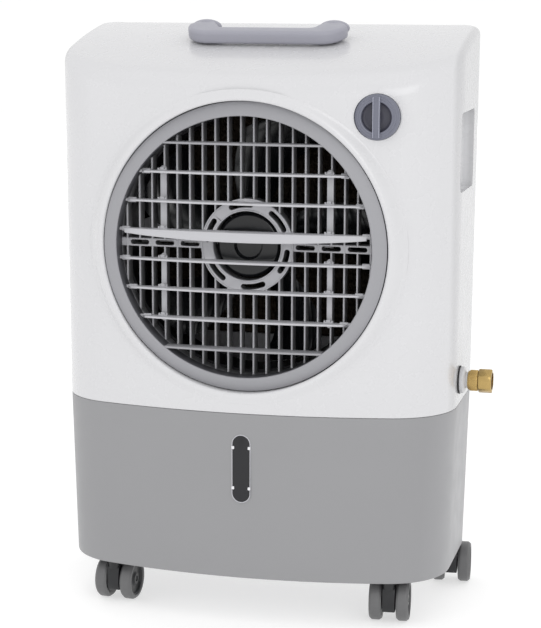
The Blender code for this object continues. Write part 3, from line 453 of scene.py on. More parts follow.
def make_looks():
    """Finishes by name: slot, material, display colour, roughness, variation, grain and bump."""
    def look(slot_name, name, colour, roughness, variation, grain, bump, **more):
        return slot_name, surface(name, linear(*colour), roughness, variation, grain=grain,
                                  bump=bump, **more)
    return {
        # housing: painted shade, the colour is up to 16 % darker towards the outer side walls
        "housing": look("white_plastic", "gloss_white_abs_painted_side_shade", (206, 206, 208), 0.27, 0.005, 120, 0.006,
                        gloss_spread=0.03, coat=0.25, shade=(0.2310, 0.2352, 0.84, "X")),
        # tank: painted reflection, the colour is up to 25 % lighter from the front towards the sides and
        # back
        "tank": look("tank_grey", "satin_grey_pe_painted_light", (143, 143, 145), 0.42, 0.012, 1400, 0.10,
                     gloss_spread=0.05, shade=(0.03, 0.12, 1.25)),
        "ring": look("ring_grey", "satin_ring_grey", (150, 150, 154), 0.48, 0.01, 1700, 0.12),
        "blade": look("light_grey", "satin_light_grey", (184, 184, 188), 0.38, 0.01, 1500, 0.06),
        # guard: painted shade, the colour is 70 % darker behind the ribs' front edges, on their sides and
        # between them
        "guard": look("light_grey", "guard_grey_painted_shade", (184, 184, 188), 0.42, 0.015, 1500, 0.06,
                      shade=(0.0188, 0.0215, 0.30)),
        # ring inner wall: painted shade, a darker copy of the ring grey that gets darker still towards the
        # back
        "ring_wall_painted_shade": look("ring_grey", "ring_inner_wall_painted_shade", (92, 92, 97), 0.50, 0.02, 1500, 0.08,
                          shade=(-0.004, 0.010, 0.45)),
        "trim": look("light_grey", "plain_light_grey", (176, 176, 180), 0.42, 0.015, 1500, 0.06),
        "handle": look("ring_grey", "handle_grey", (153, 153, 163), 0.36, 0.012, 1600, 0.08),
        "knob": look("knob_grey", "satin_blue_grey", (108, 110, 123), 0.40, 0.015, 1600, 0.08),
        # knob grip edges: painted highlight, lighter than the knob grey
        "knob_edge_painted_highlight": look("knob_grey", "grip_edge_painted_highlight", (152, 154, 168), 0.38, 0.01, 1600, 0.06),
        "knob_floor": look("knob_grey", "dark_recess", (58, 58, 70), 0.45, 0.02, 1600, 0.08),
        "black": look("black_plastic", "gloss_black_pp", (24, 25, 28), 0.30, 0.10, 1200, 0.05,
                      gloss_spread=0.06),
        # fan and duct: partly their own black and dark grey plastic, partly painted shade inside the
        # housing
        "fan": look("black_plastic", "fan_black_pp_painted_shade", (15, 16, 19), 0.24, 0.10, 500, 0.04,
                    gloss_spread=0.06),
        "duct": look("black_plastic", "duct_grey_painted_shade", (32, 32, 36), 0.45, 0.06, 1200, 0.06),
        "window": look("smoke_window", "smoke_clear", (13, 13, 19), 0.14, 0.08, 60, 0.01,
                       gloss_spread=0.03),
        # window outline: painted highlight, light grey around the smoked window
        "window_rim_painted_highlight": look("light_grey", "clear_edge_painted_highlight", (186, 186, 191), 0.30, 0.01, 900, 0.03),
        "nub": look("white_plastic", "window_clip_white", (225, 225, 228), 0.30, 0.01, 900, 0.03),
        "tread": look("wheel_tread", "nylon_tread", (98, 98, 99), 0.42, 0.06, 900, 0.12, gloss_spread=0.08),
        "disc": look("black_plastic", "caster_black", (22, 23, 26), 0.36, 0.08, 1200, 0.06),
        "brass": look("brass", "turned_brass", (182, 155, 100), 0.27, 0.06, 420, 0.05,
                      gloss_spread=0.08, metallic=1.0, stretch=(6, 1, 1)),
        "steel": look("steel", "zinc_steel", (178, 178, 180), 0.35, 0.05, 600, 0.05,
                      metallic=1.0, stretch=(1, 5, 1)),
        "motor": look("motor_steel", "motor_enamel", (40, 40, 42), 0.40, 0.06, 300, 0.06),
        "rubber": look("rubber", "gasket_rubber", (42, 42, 43), 0.62, 0.05, 1500, 0.15),
        "float": look("float_red", "float_red", (180, 60, 48), 0.42, 0.04, 1200, 0.06),
        "pad": look("pad", "cellulose_brown", (52, 43, 33), 0.85, 0.22, 420, 0.6,
                    patch=30, depth=0.0006, gloss_spread=0.05, stretch=(1, 1, 3)),
    }


LOOKS = make_looks()


# ---- the body in plan and height

def half_outline():
    """Right half of the plan as (x, y, normal angle, edge rounding), front to back."""
    offset = CROWN_RADIUS - FRONT_CORNER
    crown_end = math.asin((HALF_WIDTH - FRONT_CORNER) / offset)
    corner_y = CROWN_FRONT_Y + CROWN_RADIUS - offset * math.cos(crown_end)
    rows = []
    for i in range(17):
        a = crown_end * i / 16
        y = CROWN_FRONT_Y + CROWN_RADIUS * (1 - math.cos(a))
        rows.append((CROWN_RADIUS * math.sin(a), y, a, FRONT_EDGE_ROUND))
    for i in range(1, 21):
        t = i / 20
        a = crown_end + (math.pi / 2 - crown_end) * t
        x = HALF_WIDTH - FRONT_CORNER + FRONT_CORNER * math.sin(a)
        y = corner_y - FRONT_CORNER * math.cos(a)
        edge = FRONT_EDGE_ROUND + (SIDE_EDGE_ROUND - FRONT_EDGE_ROUND) * eased(t)
        rows.append((x, y, a, edge))
    back_start = BACK_Y - BACK_CORNER
    for i in range(1, 9):
        y = corner_y + (back_start - corner_y) * i / 8
        rows.append((HALF_WIDTH, y, math.pi / 2, SIDE_EDGE_ROUND))
    for i in range(1, 13):
        t = i / 12
        a = math.pi / 2 * (1 + t)
        x = HALF_WIDTH - BACK_CORNER + BACK_CORNER * math.sin(a)
        y = back_start - BACK_CORNER * math.cos(a)
        edge = SIDE_EDGE_ROUND + (BACK_EDGE_ROUND - SIDE_EDGE_ROUND) * eased(t)
        rows.append((x, y, a, edge))
    for x in (0.15, 0.10, 0.05, 0.0):
        rows.append((x, BACK_Y, math.pi, BACK_EDGE_ROUND))
    return rows


def full_outline():
    right = half_outline()
    left = [(-x, y, -a, edge) for x, y, a, edge in right[-2:0:-1]]
    return right + left


def top_height(y):
    return TOP_ARC_Z + math.sqrt(TOP_ARC_RADIUS ** 2 - (TOP_ARC_Y - y) ** 2)


def flare(z):
    """Width factor of the upper housing at a height."""
    return 1 + HOUSING_FLARE * (z - SEAM_Z)


def front_y(x, z):
    """Depth of the crowned front face at a point of the upper housing."""
    return CROWN_FRONT_Y + CROWN_RADIUS - math.sqrt(CROWN_RADIUS ** 2 - (x / flare(z)) ** 2)


def inset_ring(outline, inset, height):
    ring = []
    for x, y, a, edge in outline:
        px = x - inset(edge) * math.sin(a)
        py = y + inset(edge) * math.cos(a)
        ring.append((px, py, height(py, edge)))
    return ring


# ---- upper housing

SEAM_ROUND = 0.0009
POCKET_Y = (0.075, 0.170)
POCKET_Z = (0.508, 0.600)
POCKET_DEPTH = 0.015
KNOB_RECESS = 0.0262
KNOB_SEAT_Y = 0.0113
LIP_CUT = 0.1765
EAR_X = 0.078
EAR_RADIUS = 0.0052
INLET_Y = 0.103
INLET_Z = 0.2835
INLET_WALL_X = 0.2381
INLET_END_X = 0.2770
NUT_RADIUS = 0.0145
KNURLS = 36
KNURL_RADIUS = 0.0119


def housing_surface():
    outline = full_outline()
    rings = []
    for a in quarter(3):
        rings.append(inset_ring(
            outline, lambda e, a=a: SEAM_ROUND * (1 - math.sin(a)),
            lambda y, e, a=a: SEAM_Z + SEAM_ROUND * (1 - math.cos(a))))
    for i in range(1, 6):
        rings.append(inset_ring(
            outline, lambda e: 0.0,
            lambda y, e, t=i / 6: SEAM_Z + (top_height(y) - e - SEAM_Z) * t))
    for a in quarter(10):
        rings.append(inset_ring(
            outline, lambda e, a=a: e * (1 - math.cos(a)),
            lambda y, e, a=a: top_height(y) - e * (1 - math.sin(a))))
    edge_ring = rings[-1]
    for scale in (0.9, 0.78, 0.64, 0.48, 0.32, 0.16, 0.05):
        ring = []
        for x, y, _ in edge_ring:
            py = PLAN_CENTRE_Y + (y - PLAN_CENTRE_Y) * scale
            ring.append((x * scale, py, top_height(py)))
        rings.append(ring)
    rings = [[(x * flare(z), y, z) for x, y, z in ring] for ring in rings]
    shell = grid("housing_skin", rings, caps=(False, True))
    return walled(shell)


def pocket_tools():
    """Cutters for the grip pockets, and the walls behind them."""
    cutters, walls = [], []
    for side in (-1, 1):
        inner, outer = HALF_WIDTH - POCKET_DEPTH, HALF_WIDTH + 0.03
        xs = sorted((side * inner, side * outer))
        cutters.append(block("pocket_cutter", (xs[0], POCKET_Y[0], POCKET_Z[0]),
                             (xs[1], POCKET_Y[1], POCKET_Z[1]), 0.006, 4))
        xs = sorted((side * (inner - WALL), side * (HALF_WIDTH - 0.0001)))
        walls.append(block("pocket_wall", (xs[0], POCKET_Y[0] - WALL, POCKET_Z[0] - WALL),
                           (xs[1], POCKET_Y[1] + WALL, POCKET_Z[1] + WALL)))
    return cutters, walls


def handle_ears():
    """The low ears on the top that carry the handle's pins inside its rounded ends."""
    axis = joint_place("handle_fold")
    base = top_height(axis.y) - 0.002
    for label, side in SIDES:
        outline = arc(axis.y, axis.z, EAR_RADIUS, 0, math.pi, 16)
        outline += [(axis.y - EAR_RADIUS, base - 0.0015), (axis.y + EAR_RADIUS, base)]
        ear = plate(f"handle_ear_{label}", [outline], 0.009, facing_side(side * EAR_X))
        place(soften(ear, 0.0008, 2), "body", "housing")


def outlet_lip():
    """Rounded lip of the outlet: it rolls out of the crowned face and over into the collar."""
    rows = []
    steps = 192
    crest = 0.1722
    for i in range(steps):
        a = 2 * math.pi * i / steps
        side = math.cos(a) ** 2
        outer = 0.1815 + 0.0075 * side
        crest_y = -0.0104 + 0.0090 * side
        roll = 0.0030
        row = [(COLLAR_INNER, COLLAR_BACK_Y - 0.004), (COLLAR_INNER, crest_y + 0.008)]
        for b in quarter(6):
            row.append((COLLAR_INNER + roll * (1 - math.cos(b)), crest_y + roll * (1 - math.sin(b))))
        for k in range(1, 15):
            t = k / 14
            radius = crest + (outer - crest) * t
            x, z = radius * math.cos(a), OUTLET_Z + radius * math.sin(a)
            row.append((radius, crest_y + (front_y(x, z) - 0.00004 - crest_y) * eased(t)))
        row.append((outer + 0.0006, front_y((outer + 0.0006) * math.cos(a),
                                            OUTLET_Z + outer * math.sin(a)) + 0.0006))
        rows.append([(r * math.cos(a), y, OUTLET_Z + r * math.sin(a)) for r, y in row])
    rows.append(rows[0])
    lip = grid("outlet_lip", rows, wrap=False)
    place(lip, "body", "housing", angle=50)


def upper_housing():
    shell = housing_surface()
    knob = joint_place("knob_turn")
    seat = rod("seat", (knob.x, 0.0095, knob.z), (knob.x, KNOB_SEAT_Y + WALL, knob.z),
               KNOB_RECESS + 0.0013, 64)
    cutters, walls = pocket_tools()
    join(shell, seat, *walls)
    tools = cutters + [
        rod("outlet_cutter", (0, -0.03, OUTLET_Z), (0, 0.06, OUTLET_Z), LIP_CUT, 128),
        rod("knob_cutter", (knob.x, -0.03, knob.z), (knob.x, KNOB_SEAT_Y, knob.z), KNOB_RECESS, 96),
        rod("stem_cutter", (knob.x, 0.0, knob.z), (knob.x, 0.03, knob.z), 0.0036, 32),
        block("intake_cutter", (-0.185, 0.215, 0.300), (0.185, 0.25, 0.645), 0.004),
        rod("inlet_cutter", (0.21, INLET_Y, INLET_Z), (0.25, INLET_Y, INLET_Z), 0.0078, 32),
        rod("gland_cutter", (-0.150, 0.22, 0.272), (-0.150, 0.24, 0.272), 0.0070, 32)]
    cut(shell, *tools)
    # The housing look carries painted shade on the side walls
    place(shell, "body", "housing", "upper_housing")
    knob_y = front_y(knob.x, knob.z)
    inner, outer = KNOB_RECESS - 0.0002, KNOB_RECESS + 0.0011
    profile = rounded([(inner, KNOB_SEAT_Y - 0.001, 0), (inner, knob_y - 0.0006, 0.0005),
                       (outer, knob_y - 0.0006, 0.0006), (outer + 0.0012, knob_y + 0.0020, 0)],
                      4, closed=False)
    rim = lathe("knob_recess_rim", profile, (knob.x, 0, knob.z), "Y", 96, closed=False)
    shear_to_face(rim, knob)
    place(rim, "body", "housing")


def shear_to_face(obj, centre):
    """Lean a round rim so that it follows the crowned face around its centre."""
    base = front_y(centre.x, centre.z)
    for vert in obj.data.vertices:
        vert.co.y += front_y(vert.co.x, vert.co.z) - base


# ---- water tank

WINDOW_Z = 0.187
WINDOW_WIDTH = 0.023
WINDOW_HEIGHT = 0.082
WINDOW_FACE_Y = -0.0085
DRAIN_X = -0.120
DRAIN_Z = 0.078


def tank_surface():
    outline = full_outline()
    top_z = SEAM_Z - 0.0003
    levels = []
    for a in quarter(6):
        levels.append((TANK_BOTTOM_Z + 0.0022 * (1 - math.cos(a)), 0.0030 * (1 - math.sin(a))))
    levels += [(0.10, 0.0), (0.14, 0.0), (0.18, 0.0), (0.22, 0.0)]
    for a in quarter(3):
        levels.append((top_z - SEAM_ROUND * (1 - math.sin(a)), SEAM_ROUND * (1 - math.cos(a))))
    rings = []
    for z, inset in levels:
        low = 1 - (z - TANK_BOTTOM_Z) / (top_z - TANK_BOTTOM_Z)
        scale = 1 - (1 - TANK_SCALE_AT_BOTTOM) * low
        ring = inset_ring(outline, lambda e, d=inset: d, lambda y, e, z=z: z)
        rings.append([(x * scale, PLAN_CENTRE_Y + (y - PLAN_CENTRE_Y) * scale, z)
                      for x, y, z in ring])
    shell = grid("tank_skin", rings, caps=(True, False))
    return walled(shell)


def water_tank():
    tank = tank_surface()
    stems = [joint_place(f"caster_{name}_swivel") for name in CASTERS]
    bosses = [rod("boss", (s.x, s.y, TANK_BOTTOM_Z + 0.001), (s.x, s.y, 0.095), 0.0095)
              for s in stems]
    channel = block("channel", (-0.015, -0.0070, WINDOW_Z - 0.045),
                    (0.015, 0.0065, WINDOW_Z + 0.045))
    join(tank, channel, *bosses)
    sockets = [rod("socket", (s.x, s.y, 0.04), (s.x, s.y, 0.092), 0.0058) for s in stems]
    pocket = plate("pocket", [stadium(WINDOW_WIDTH, WINDOW_HEIGHT)], 0.034,
                   facing_front(0, -0.0135, WINDOW_Z))
    drain = rod("drain", (DRAIN_X, 0.20, DRAIN_Z), (DRAIN_X, 0.25, DRAIN_Z), 0.0103, 48)
    cut(tank, pocket, drain, *sockets)
    # The tank look carries painted light on the tank's sides and back
    place(tank, "body", "tank", "water_tank")


CASTERS = ("front_left", "front_right", "rear_left", "rear_right")


def level_window():
    """Smoked window with its clear outline, coloured light grey as a painted highlight, and four clips."""
    width, height = WINDOW_WIDTH - 0.0006, WINDOW_HEIGHT - 0.0006
    glass = plate("window_glass", [stadium(width, height, 24)], 0.0025,
                  facing_front(0, WINDOW_FACE_Y + 0.00125, WINDOW_Z))
    soften(glass, 0.0008, 3)
    place(glass, "body", "window", "level_window")
    rim = plate("window_rim_painted_highlight", [stadium(width + 0.0004, height + 0.0004, 24),
                               stadium(width - 0.0016, height - 0.0016, 24)], 0.0010,
                facing_front(0, WINDOW_FACE_Y - 0.0003, WINDOW_Z))
    soften(rim, 0.0003, 2)
    place(rim, "body", "window_rim_painted_highlight")
    for share in (0.31, -0.285):
        for side in (-1, 1):
            x = side * (width / 2 - 0.0014)
            z = WINDOW_Z + share * height
            nub = block("nub", (x - 0.00165, WINDOW_FACE_Y - 0.0016, z - 0.0018),
                        (x + 0.00165, WINDOW_FACE_Y + 0.0004, z + 0.0018), 0.0006, 3)
            where = "upper" if share > 0 else "lower"
            nub.name = f"window_clip_{where}_{'left' if side < 0 else 'right'}"
            place(nub, "body", "nub")


# ---- air outlet

def chord(radius, height):
    return math.sqrt(radius ** 2 - height ** 2)


def slat_heights():
    return [SLAT_PITCH * (3.5 - i) for i in range(8)]


def slat_front(x):
    return SLAT_FRONT_Y + SLAT_BOW * (x / RING_INNER) ** 2


def slat(name, half, height, trim=0.0):
    """Blade with a bowed front edge and rounded rims, across the outlet at a height; trim cuts
    its front corners back to the pivots."""
    outline = [(x, slat_front(x)) for x in spread(half - trim, 32)]
    if trim:
        corner = 0.0050
        back = [(half, corner), (half, SLAT_BACK_Y - 0.003), (half - 0.003, SLAT_BACK_Y)]
    else:
        back = [(half, SLAT_BACK_Y)]
    outline += back + [(-x, y) for x, y in reversed(back)]
    blade = plate(name, [outline], SLAT_THICK, Matrix.Translation((0, 0, OUTLET_Z + height)))
    return soften(blade, 0.0009, 3, 50)


def bezel():
    """Conical ring with a rolled inner edge, and its two fixed slats."""
    back = GUARD_FRONT_Y - 0.0007
    wall = RING_INNER + 0.004
    corners = [(RING_INNER, -0.0055, 0.0014), (RING_INNER + 0.0016, -0.0066, 0.0010),
               (RING_OUTER, 0.0, 0.0008), (RING_OUTER, 0.006, 0), (wall, 0.006, 0),
               (wall, back, 0), (RING_INNER, back, 0.0006)]
    ring = lathe("bezel", rounded(corners, 5), (0, 0, OUTLET_Z), "Y", 192)
    heights = slat_heights()
    slats = [slat("fixed", chord(RING_INNER + 0.001, h), h) for h in (heights[0], heights[-1])]
    join(ring, *slats)
    place(ring, "body", "ring", "bezel_ring")
    # Painted shade: the ring's inner wall faces get the darker inner wall look
    ring.data.materials.append(LOOKS["ring_wall_painted_shade"][1])
    for face in ring.data.polygons:
        centre = face.center
        if math.hypot(centre.x, centre.z - OUTLET_Z) > RING_INNER - 0.0008 and centre.y > -0.0038:
            face.material_index = int(abs(face.normal.y) < 0.3)


def louvre(number):
    """One pivoting blade with its end pins, link tabs and clips."""
    height = slat_heights()[number - 1]
    half = chord(RING_INNER, height) - 0.0022
    pivot = joint_place(f"louvre_{number}_tilt")
    blade = slat(f"blade_{number}", half, height, 0.0045)
    extras = []
    for side in (-1, 1):
        extras.append(rod("pin", (side * (half - 0.006), pivot.y, pivot.z),
                          (side * (half + 0.005), pivot.y, pivot.z), 0.0020, 24, 0.0004))
        extras.append(rod("boss", (side * (half - 0.010), pivot.y, pivot.z),
                          (side * (half - 0.0002), pivot.y, pivot.z), 0.0030, 32, 0.0008))
        x = side * LINK_X
        extras.append(block("tab", (x - 0.0015, 0.009, pivot.z - 0.001),
                            (x + 0.0015, 0.0166, pivot.z + 0.001), 0.0003, 2))
        extras += link_clip(x, pivot.z)
    if number == 4:
        extras.append(grip_lip(half, pivot.z))
    merge(blade, *extras)
    place(blade, f"louvre_{number}", "blade", f"louvre_{number}")


def link_clip(x, z):
    """Clip on a blade's back edge that snaps over the link bar."""
    top = z + SLAT_THICK / 2
    base = block("clip", (x - 0.0055, 0.0065, top - 0.0006), (x + 0.0055, 0.0110, top + 0.0008),
                 0.0003, 2)
    middle = block("clip", (x - 0.0026, 0.0068, top), (x + 0.0026, 0.0099, top + 0.0034), 0.0006, 3)
    ends = [block("clip", (x + s * 0.0045 - 0.0010, 0.0070, top),
                  (x + s * 0.0045 + 0.0010, 0.0106, top + 0.0024), 0.0004, 2) for s in (-1, 1)]
    return [base, middle] + ends


def grip_lip(half, z):
    """Finger lip that hangs from the front of the middle blade, deepest at its centre."""
    rows = []
    reach = half - 0.0046
    for x in spread(reach, 48):
        drop = 0.0044 + 0.0058 * max(0.0, 1 - (x / reach) ** 2) ** 0.9
        y = slat_front(x)
        top = z + SLAT_THICK / 2 - 0.0005
        section = rounded([(y + 0.0002, top, 0.0004), (y + 0.0002, z - drop, 0.0008),
                           (y + 0.0022, z - drop, 0.0008), (y + 0.0022, top, 0.0004)], 3)
        rows.append([(x, a, b) for a, b in section])
    return grid("lip", rows, caps=(True, True))


def link_bar(name, x, leader, members):
    """Upright bar that couples a group of blades."""
    heights = [slat_heights()[n - 1] for n in members]
    low = OUTLET_Z + min(heights) - 0.006
    high = OUTLET_Z + max(heights) + 0.006
    y = joint_place(f"{name}_pivot").y
    width = 0.0076 if leader == 4 else 0.0062
    outline = [(x + a, (low + high) / 2 + b) for a, b in stadium(width, high - low, 10)]
    windows = []
    for height in heights:
        z = OUTLET_Z + height
        windows.append([(x - 0.002, z - 0.0022), (x + 0.002, z - 0.0022),
                        (x + 0.002, z + 0.0022), (x - 0.002, z + 0.0022)])
    bar = plate(name + "_bar", [outline] + windows, 0.0024, facing_front(0, y, 0))
    soften(bar, 0.0005, 2)
    place(bar, name, "trim", name)


def outlet_blades():
    for number in range(2, 8):
        louvre(number)
    for side, sign in SIDES:
        link_bar(f"link_upper_{side}", sign * LINK_X, 4, (2, 3, 4))
        link_bar(f"link_lower_{side}", sign * LINK_X, 5, (5, 6, 7))


def guard_openings():
    """Arc slots of the hub ring and slots of the arms, half a rib pitch further in than the CAD's."""
    loops = [arc_slot(math.radians(39) + i * math.pi / 3, math.radians(28), 0.048, 0.0067)
             for i in range(6)]
    for side in (-1, 1):
        for i in range(3):
            middle = side * (4.5 + 2 * i) * RIB_PITCH
            loops.append([(middle + y, x) for x, y in stadium(0.0058, 0.023, 8)][::-1])
    return plate("openings", loops, 0.08, facing_front(0, 0.02, OUTLET_Z))


def guard():
    """Guard ring with upright ribs, two arms and a hub ring with raised rims."""
    rim = RING_INNER + 0.0010
    corners = [(rim, GUARD_FRONT_Y, 0.0006), (0.1672, GUARD_FRONT_Y, 0), (0.1672, 0.0205, 0),
               (rim + 0.003, 0.0205, 0), (rim + 0.003, GUARD_BACK_Y, 0), (rim, GUARD_BACK_Y, 0)]
    centre = (0, 0, OUTLET_Z)
    ring = lathe("guard", rounded(corners, 3), centre, "Y", 128)
    ribs = []
    for i in range(RIB_COUNT):
        x = RIB_PITCH * (i - (RIB_COUNT - 1) / 2)
        reach = chord(rim + 0.0014, abs(x) + 0.0012)
        ribs.append(block("rib", (x - 0.0010, GUARD_FRONT_Y + 0.0005, OUTLET_Z - reach),
                          (x + 0.0010, GUARD_BACK_Y - 0.0005, OUTLET_Z + reach), 0.0007, 3))
    arm_reach = chord(rim + 0.0016, 0.005)
    for side in (-1, 1):
        xs = sorted((side * 0.046, side * arm_reach))
        ribs.append(block("arm", (xs[0], GUARD_FRONT_Y + 0.001, OUTLET_Z - 0.0049),
                          (xs[1], GUARD_BACK_Y - 0.001, OUTLET_Z + 0.0049), 0.0010, 3))
    hub = rod("hub", (0, GUARD_FRONT_Y + 0.0002, OUTLET_Z), (0, 0.0357, OUTLET_Z), 0.0550, 128)
    join(ring, *ribs, hub)
    hole = rod("hole", (0, -0.02, OUTLET_Z), (0, 0.08, OUTLET_Z), 0.0405, 128)
    cut(ring, hole, guard_openings())
    # The guard look carries painted shade on everything behind the ribs' front edges
    place(ring, "body", "guard", "front_guard")
    front = GUARD_FRONT_Y + 0.0002
    for label, radius in (("inner", 0.0413), ("outer", 0.0542)):
        section = rounded([(radius - 0.0008, front - 0.0012, 0.0006),
                           (radius + 0.0008, front - 0.0012, 0.0006),
                           (radius + 0.0008, front + 0.0005, 0),
                           (radius - 0.0008, front + 0.0005, 0)], 3)
        bead = lathe(f"guard_hub_bead_{label}", section, centre, "Y", 128)
        place(bead, "body", "blade")


# ---- fan

FAN_RADIUS = 0.144
FAN_HUB_RADIUS = 0.038
FAN_FRONT_Y = 0.023
FAN_BACK_Y = 0.070
FAN_BLADES = 5


def fan_blade(turn):
    """One twisted blade as a closed surface."""
    radii = [0.0345 + (FAN_RADIUS - 0.0345) * i / 14 for i in range(15)]
    rows = []
    count = 12
    for radius in radii:
        t = (radius - radii[0]) / (radii[-1] - radii[0])
        pitch = math.radians(42 - 20 * t)
        chord_length = 0.034 + 0.062 * t
        if t > 0.9:
            chord_length *= 1 - 0.25 * ((t - 0.9) / 0.1) ** 2
        sweep = 0.30 * t * t
        half = 0.0012
        row = []
        for side in (1, -1):
            for k in range(count + 1):
                share = k / count if side > 0 else 1 - k / count
                s = chord_length * (share - 0.5)
                camber = 0.006 * (1 - (2 * share - 1) ** 2)
                thick = half * math.sqrt(max(0.02, 1 - (2 * share - 1) ** 4))
                angle = turn + sweep + s * math.cos(pitch) / radius
                y = 0.0575 + s * math.sin(pitch) - camber - side * thick
                row.append((radius * math.sin(angle), y, OUTLET_Z + radius * math.cos(angle)))
        rows.append(row)
    return grid("vane", rows, caps=(True, True))


def fan():
    front, back = FAN_FRONT_Y, FAN_BACK_Y
    corners = [(0.0, front + 0.0062, 0), (0.0148, front + 0.0062, 0.001),
               (0.0170, front, 0.0010), (0.0350, front + 0.0006, 0.0030),
               (FAN_HUB_RADIUS, front + 0.004, 0.002), (FAN_HUB_RADIUS, back, 0.001),
               (FAN_HUB_RADIUS - 0.003, back, 0), (FAN_HUB_RADIUS - 0.003, front + 0.010, 0),
               (0.009, front + 0.010, 0), (0.009, back, 0), (0.0043, back, 0),
               (0.0043, 0.0462, 0), (0.0, 0.0462, 0)]
    hub = lathe("fan_rotor", rounded(corners, 5, closed=False), (0, 0, OUTLET_Z), "Y", 96,
                closed=False)
    vanes = [fan_blade(2 * math.pi * i / FAN_BLADES) for i in range(FAN_BLADES)]
    merge(hub, *vanes)
    # The fan look is black plastic darkened further as painted shade inside the housing
    place(hub, "fan", "fan", "fan_impeller", angle=40)


# ---- control knob

def knob():
    """Knob with a stepped rim, a dished floor and a full-width grip bar."""
    centre = joint_place("knob_turn")
    seat = KNOB_SEAT_Y - 0.0003
    corners = [(0.0170, 0.0062, 0), (0.0174, -0.0008, 0.0007), (0.0194, -0.0014, 0.0006),
               (0.0200, -0.0004, 0.0004), (0.0222, -0.0004, 0.0004), (0.0226, 0.0008, 0.0003),
               (0.0242, 0.0012, 0.0004), (0.0258, 0.0030, 0.0006), (0.0258, seat, 0),
               (0.0030, seat, 0), (0.0030, 0.030, 0), (0.0, 0.030, 0), (0.0, 0.0066, 0)]
    body = lathe("knob_body", rounded(corners, 4), centre, "Y", 128)
    place(body, "knob", "knob", "control_knob")
    floor = rounded([(0.0, 0.0044, 0), (0.0080, 0.0040, 0.010), (0.0150, 0.0052, 0.004),
                     (0.0171, 0.0030, 0), (0.0171, 0.0080, 0), (0.0, 0.0080, 0)], 6, closed=False)
    dish = lathe("knob_floor", floor, centre, "Y", 128)
    place(dish, "knob", "knob_floor")
    rows = []
    for i in range(25):
        z = -0.0236 + 0.0472 * i / 24
        waist = 0.0034 + 0.0010 * (z / 0.0236) ** 2
        crown = -0.0028 + 0.0008 * (z / 0.0236) ** 4
        end = 0.0012 if i in (0, 24) else 0.0
        section = rounded([(-waist - 0.0004, 0.0070, 0), (-waist, crown + end, 0.0008),
                           (waist, crown + end, 0.0008), (waist + 0.0004, 0.0070, 0)], 4)
        rows.append([(centre.x + a, b, centre.z + z) for a, b in section])
    grip = grid("knob_grip", rows, caps=(True, True))
    place(grip, "knob", "knob")
    # Thin ridges along the grip bar's edges, coloured lighter as a painted highlight
    for label, side in SIDES:
        x = centre.x + side * 0.0035
        edge = block("edge", (x - 0.0005, -0.0033, centre.z - 0.0228),
                     (x + 0.0005, 0.0, centre.z + 0.0228), 0.0003, 2)
        edge.name = f"knob_grip_edge_{label}"
        place(edge, "knob", "knob_edge_painted_highlight")


# ---- carry handle

def handle():
    """Folding handle with soft edges and round ends that hide its pins."""
    axis = joint_place("handle_fold")
    half, inside, corner = 0.0965, 0.0595, 0.030
    reach, bar = 0.0425, 0.0205
    outer = arc(half - corner, corner - reach, corner, -math.pi / 2, 0, 16)
    inner = arc(inside - 0.008, bar - reach + 0.008, 0.008, 0, -math.pi / 2, 10)
    right = outer + [(half - 0.007, 0.0), (inside + 0.007, 0.0)] + inner
    left = [(-x, y) for x, y in reversed(right)]
    tilt = Matrix.Translation((0, axis.y, axis.z)) @ Matrix.Rotation(math.radians(16), 4, "X")
    body = soften(plate("handle_body", [right + left], 0.0162, tilt), 0.0062, 6)
    ends, slots = [], []
    for side in (-1, 1):
        middle, length = side * EAR_X, (half - inside) / 2
        profile = [(0.0093 * math.sin(a), middle + length * math.cos(a))
                   for a in (math.pi * i / 24 for i in range(25))]
        ends.append(lathe("end", profile, (0, axis.y, axis.z), "X", 64, closed=False))
        slots.append(block("slot", (middle - 0.0051, axis.y - 0.0058, axis.z - 0.03),
                           (middle + 0.0051, axis.y + 0.03, axis.z + 0.0064)))
        slots.append(rod("bore", (middle - 0.0145, axis.y, axis.z),
                         (middle + 0.0145, axis.y, axis.z), 0.0033, 32))
    join(body, *ends)
    cut(body, *slots)
    place(body, "handle", "handle", "carry_handle", angle=40)


# ---- back of the cooler

PANEL_HALF = 0.212
PANEL_Z = (0.291, 0.662)
PANEL_DEPTH = 0.0447
SLOT_START = 0.024
SLOT_PITCH = 0.0212


def rear_grille():
    """Intake panel with rounded edges and two columns of slots between sloping slats."""
    hinge = joint_place("rear_panel_tilt")
    low, high = PANEL_Z
    y0, y1 = hinge.y, hinge.y + PANEL_DEPTH
    panel = block("rear_grille", (-PANEL_HALF, y0, low), (PANEL_HALF, y1, high), 0.010, 6)
    inside = block("inside", (-PANEL_HALF + WALL, y0 - 0.012, low + WALL),
                   (PANEL_HALF - WALL, y1 - WALL, high - WALL), 0.006, 4)
    cut(panel, inside)
    slots = []
    for row in range(16):
        z = low + SLOT_START + row * SLOT_PITCH
        for left in (-0.194, 0.006):
            outline = rounded([(left, z, 0.003), (left + 0.188, z, 0.003),
                               (left + 0.188, z + 0.013, 0.003), (left, z + 0.013, 0.003)], 4)
            slots.append(plate("slot", [outline], 0.03, facing_front(0, y1, 0)))
    cut(panel, *slots)
    place(panel, "intake_panel", "housing", "rear_panel")
    slats = []
    for row in range(17):
        z = low + SLOT_START + row * SLOT_PITCH - 0.0041
        outline = [(0.0, 0.0), (-0.0100, 0.0052), (-0.0100, 0.0068), (0.0, 0.0022)]
        rows = []
        for x in (-0.196, 0.196):
            rows.append([(x, y1 - WALL + 0.0005 + a, z + b - 0.001) for a, b in outline])
        slats.append(grid("slat", rows, caps=(True, True)))
    first = merge(slats[0], *slats[1:])
    first.name = "rear_grille_slats"
    place(first, "intake_panel", "housing")


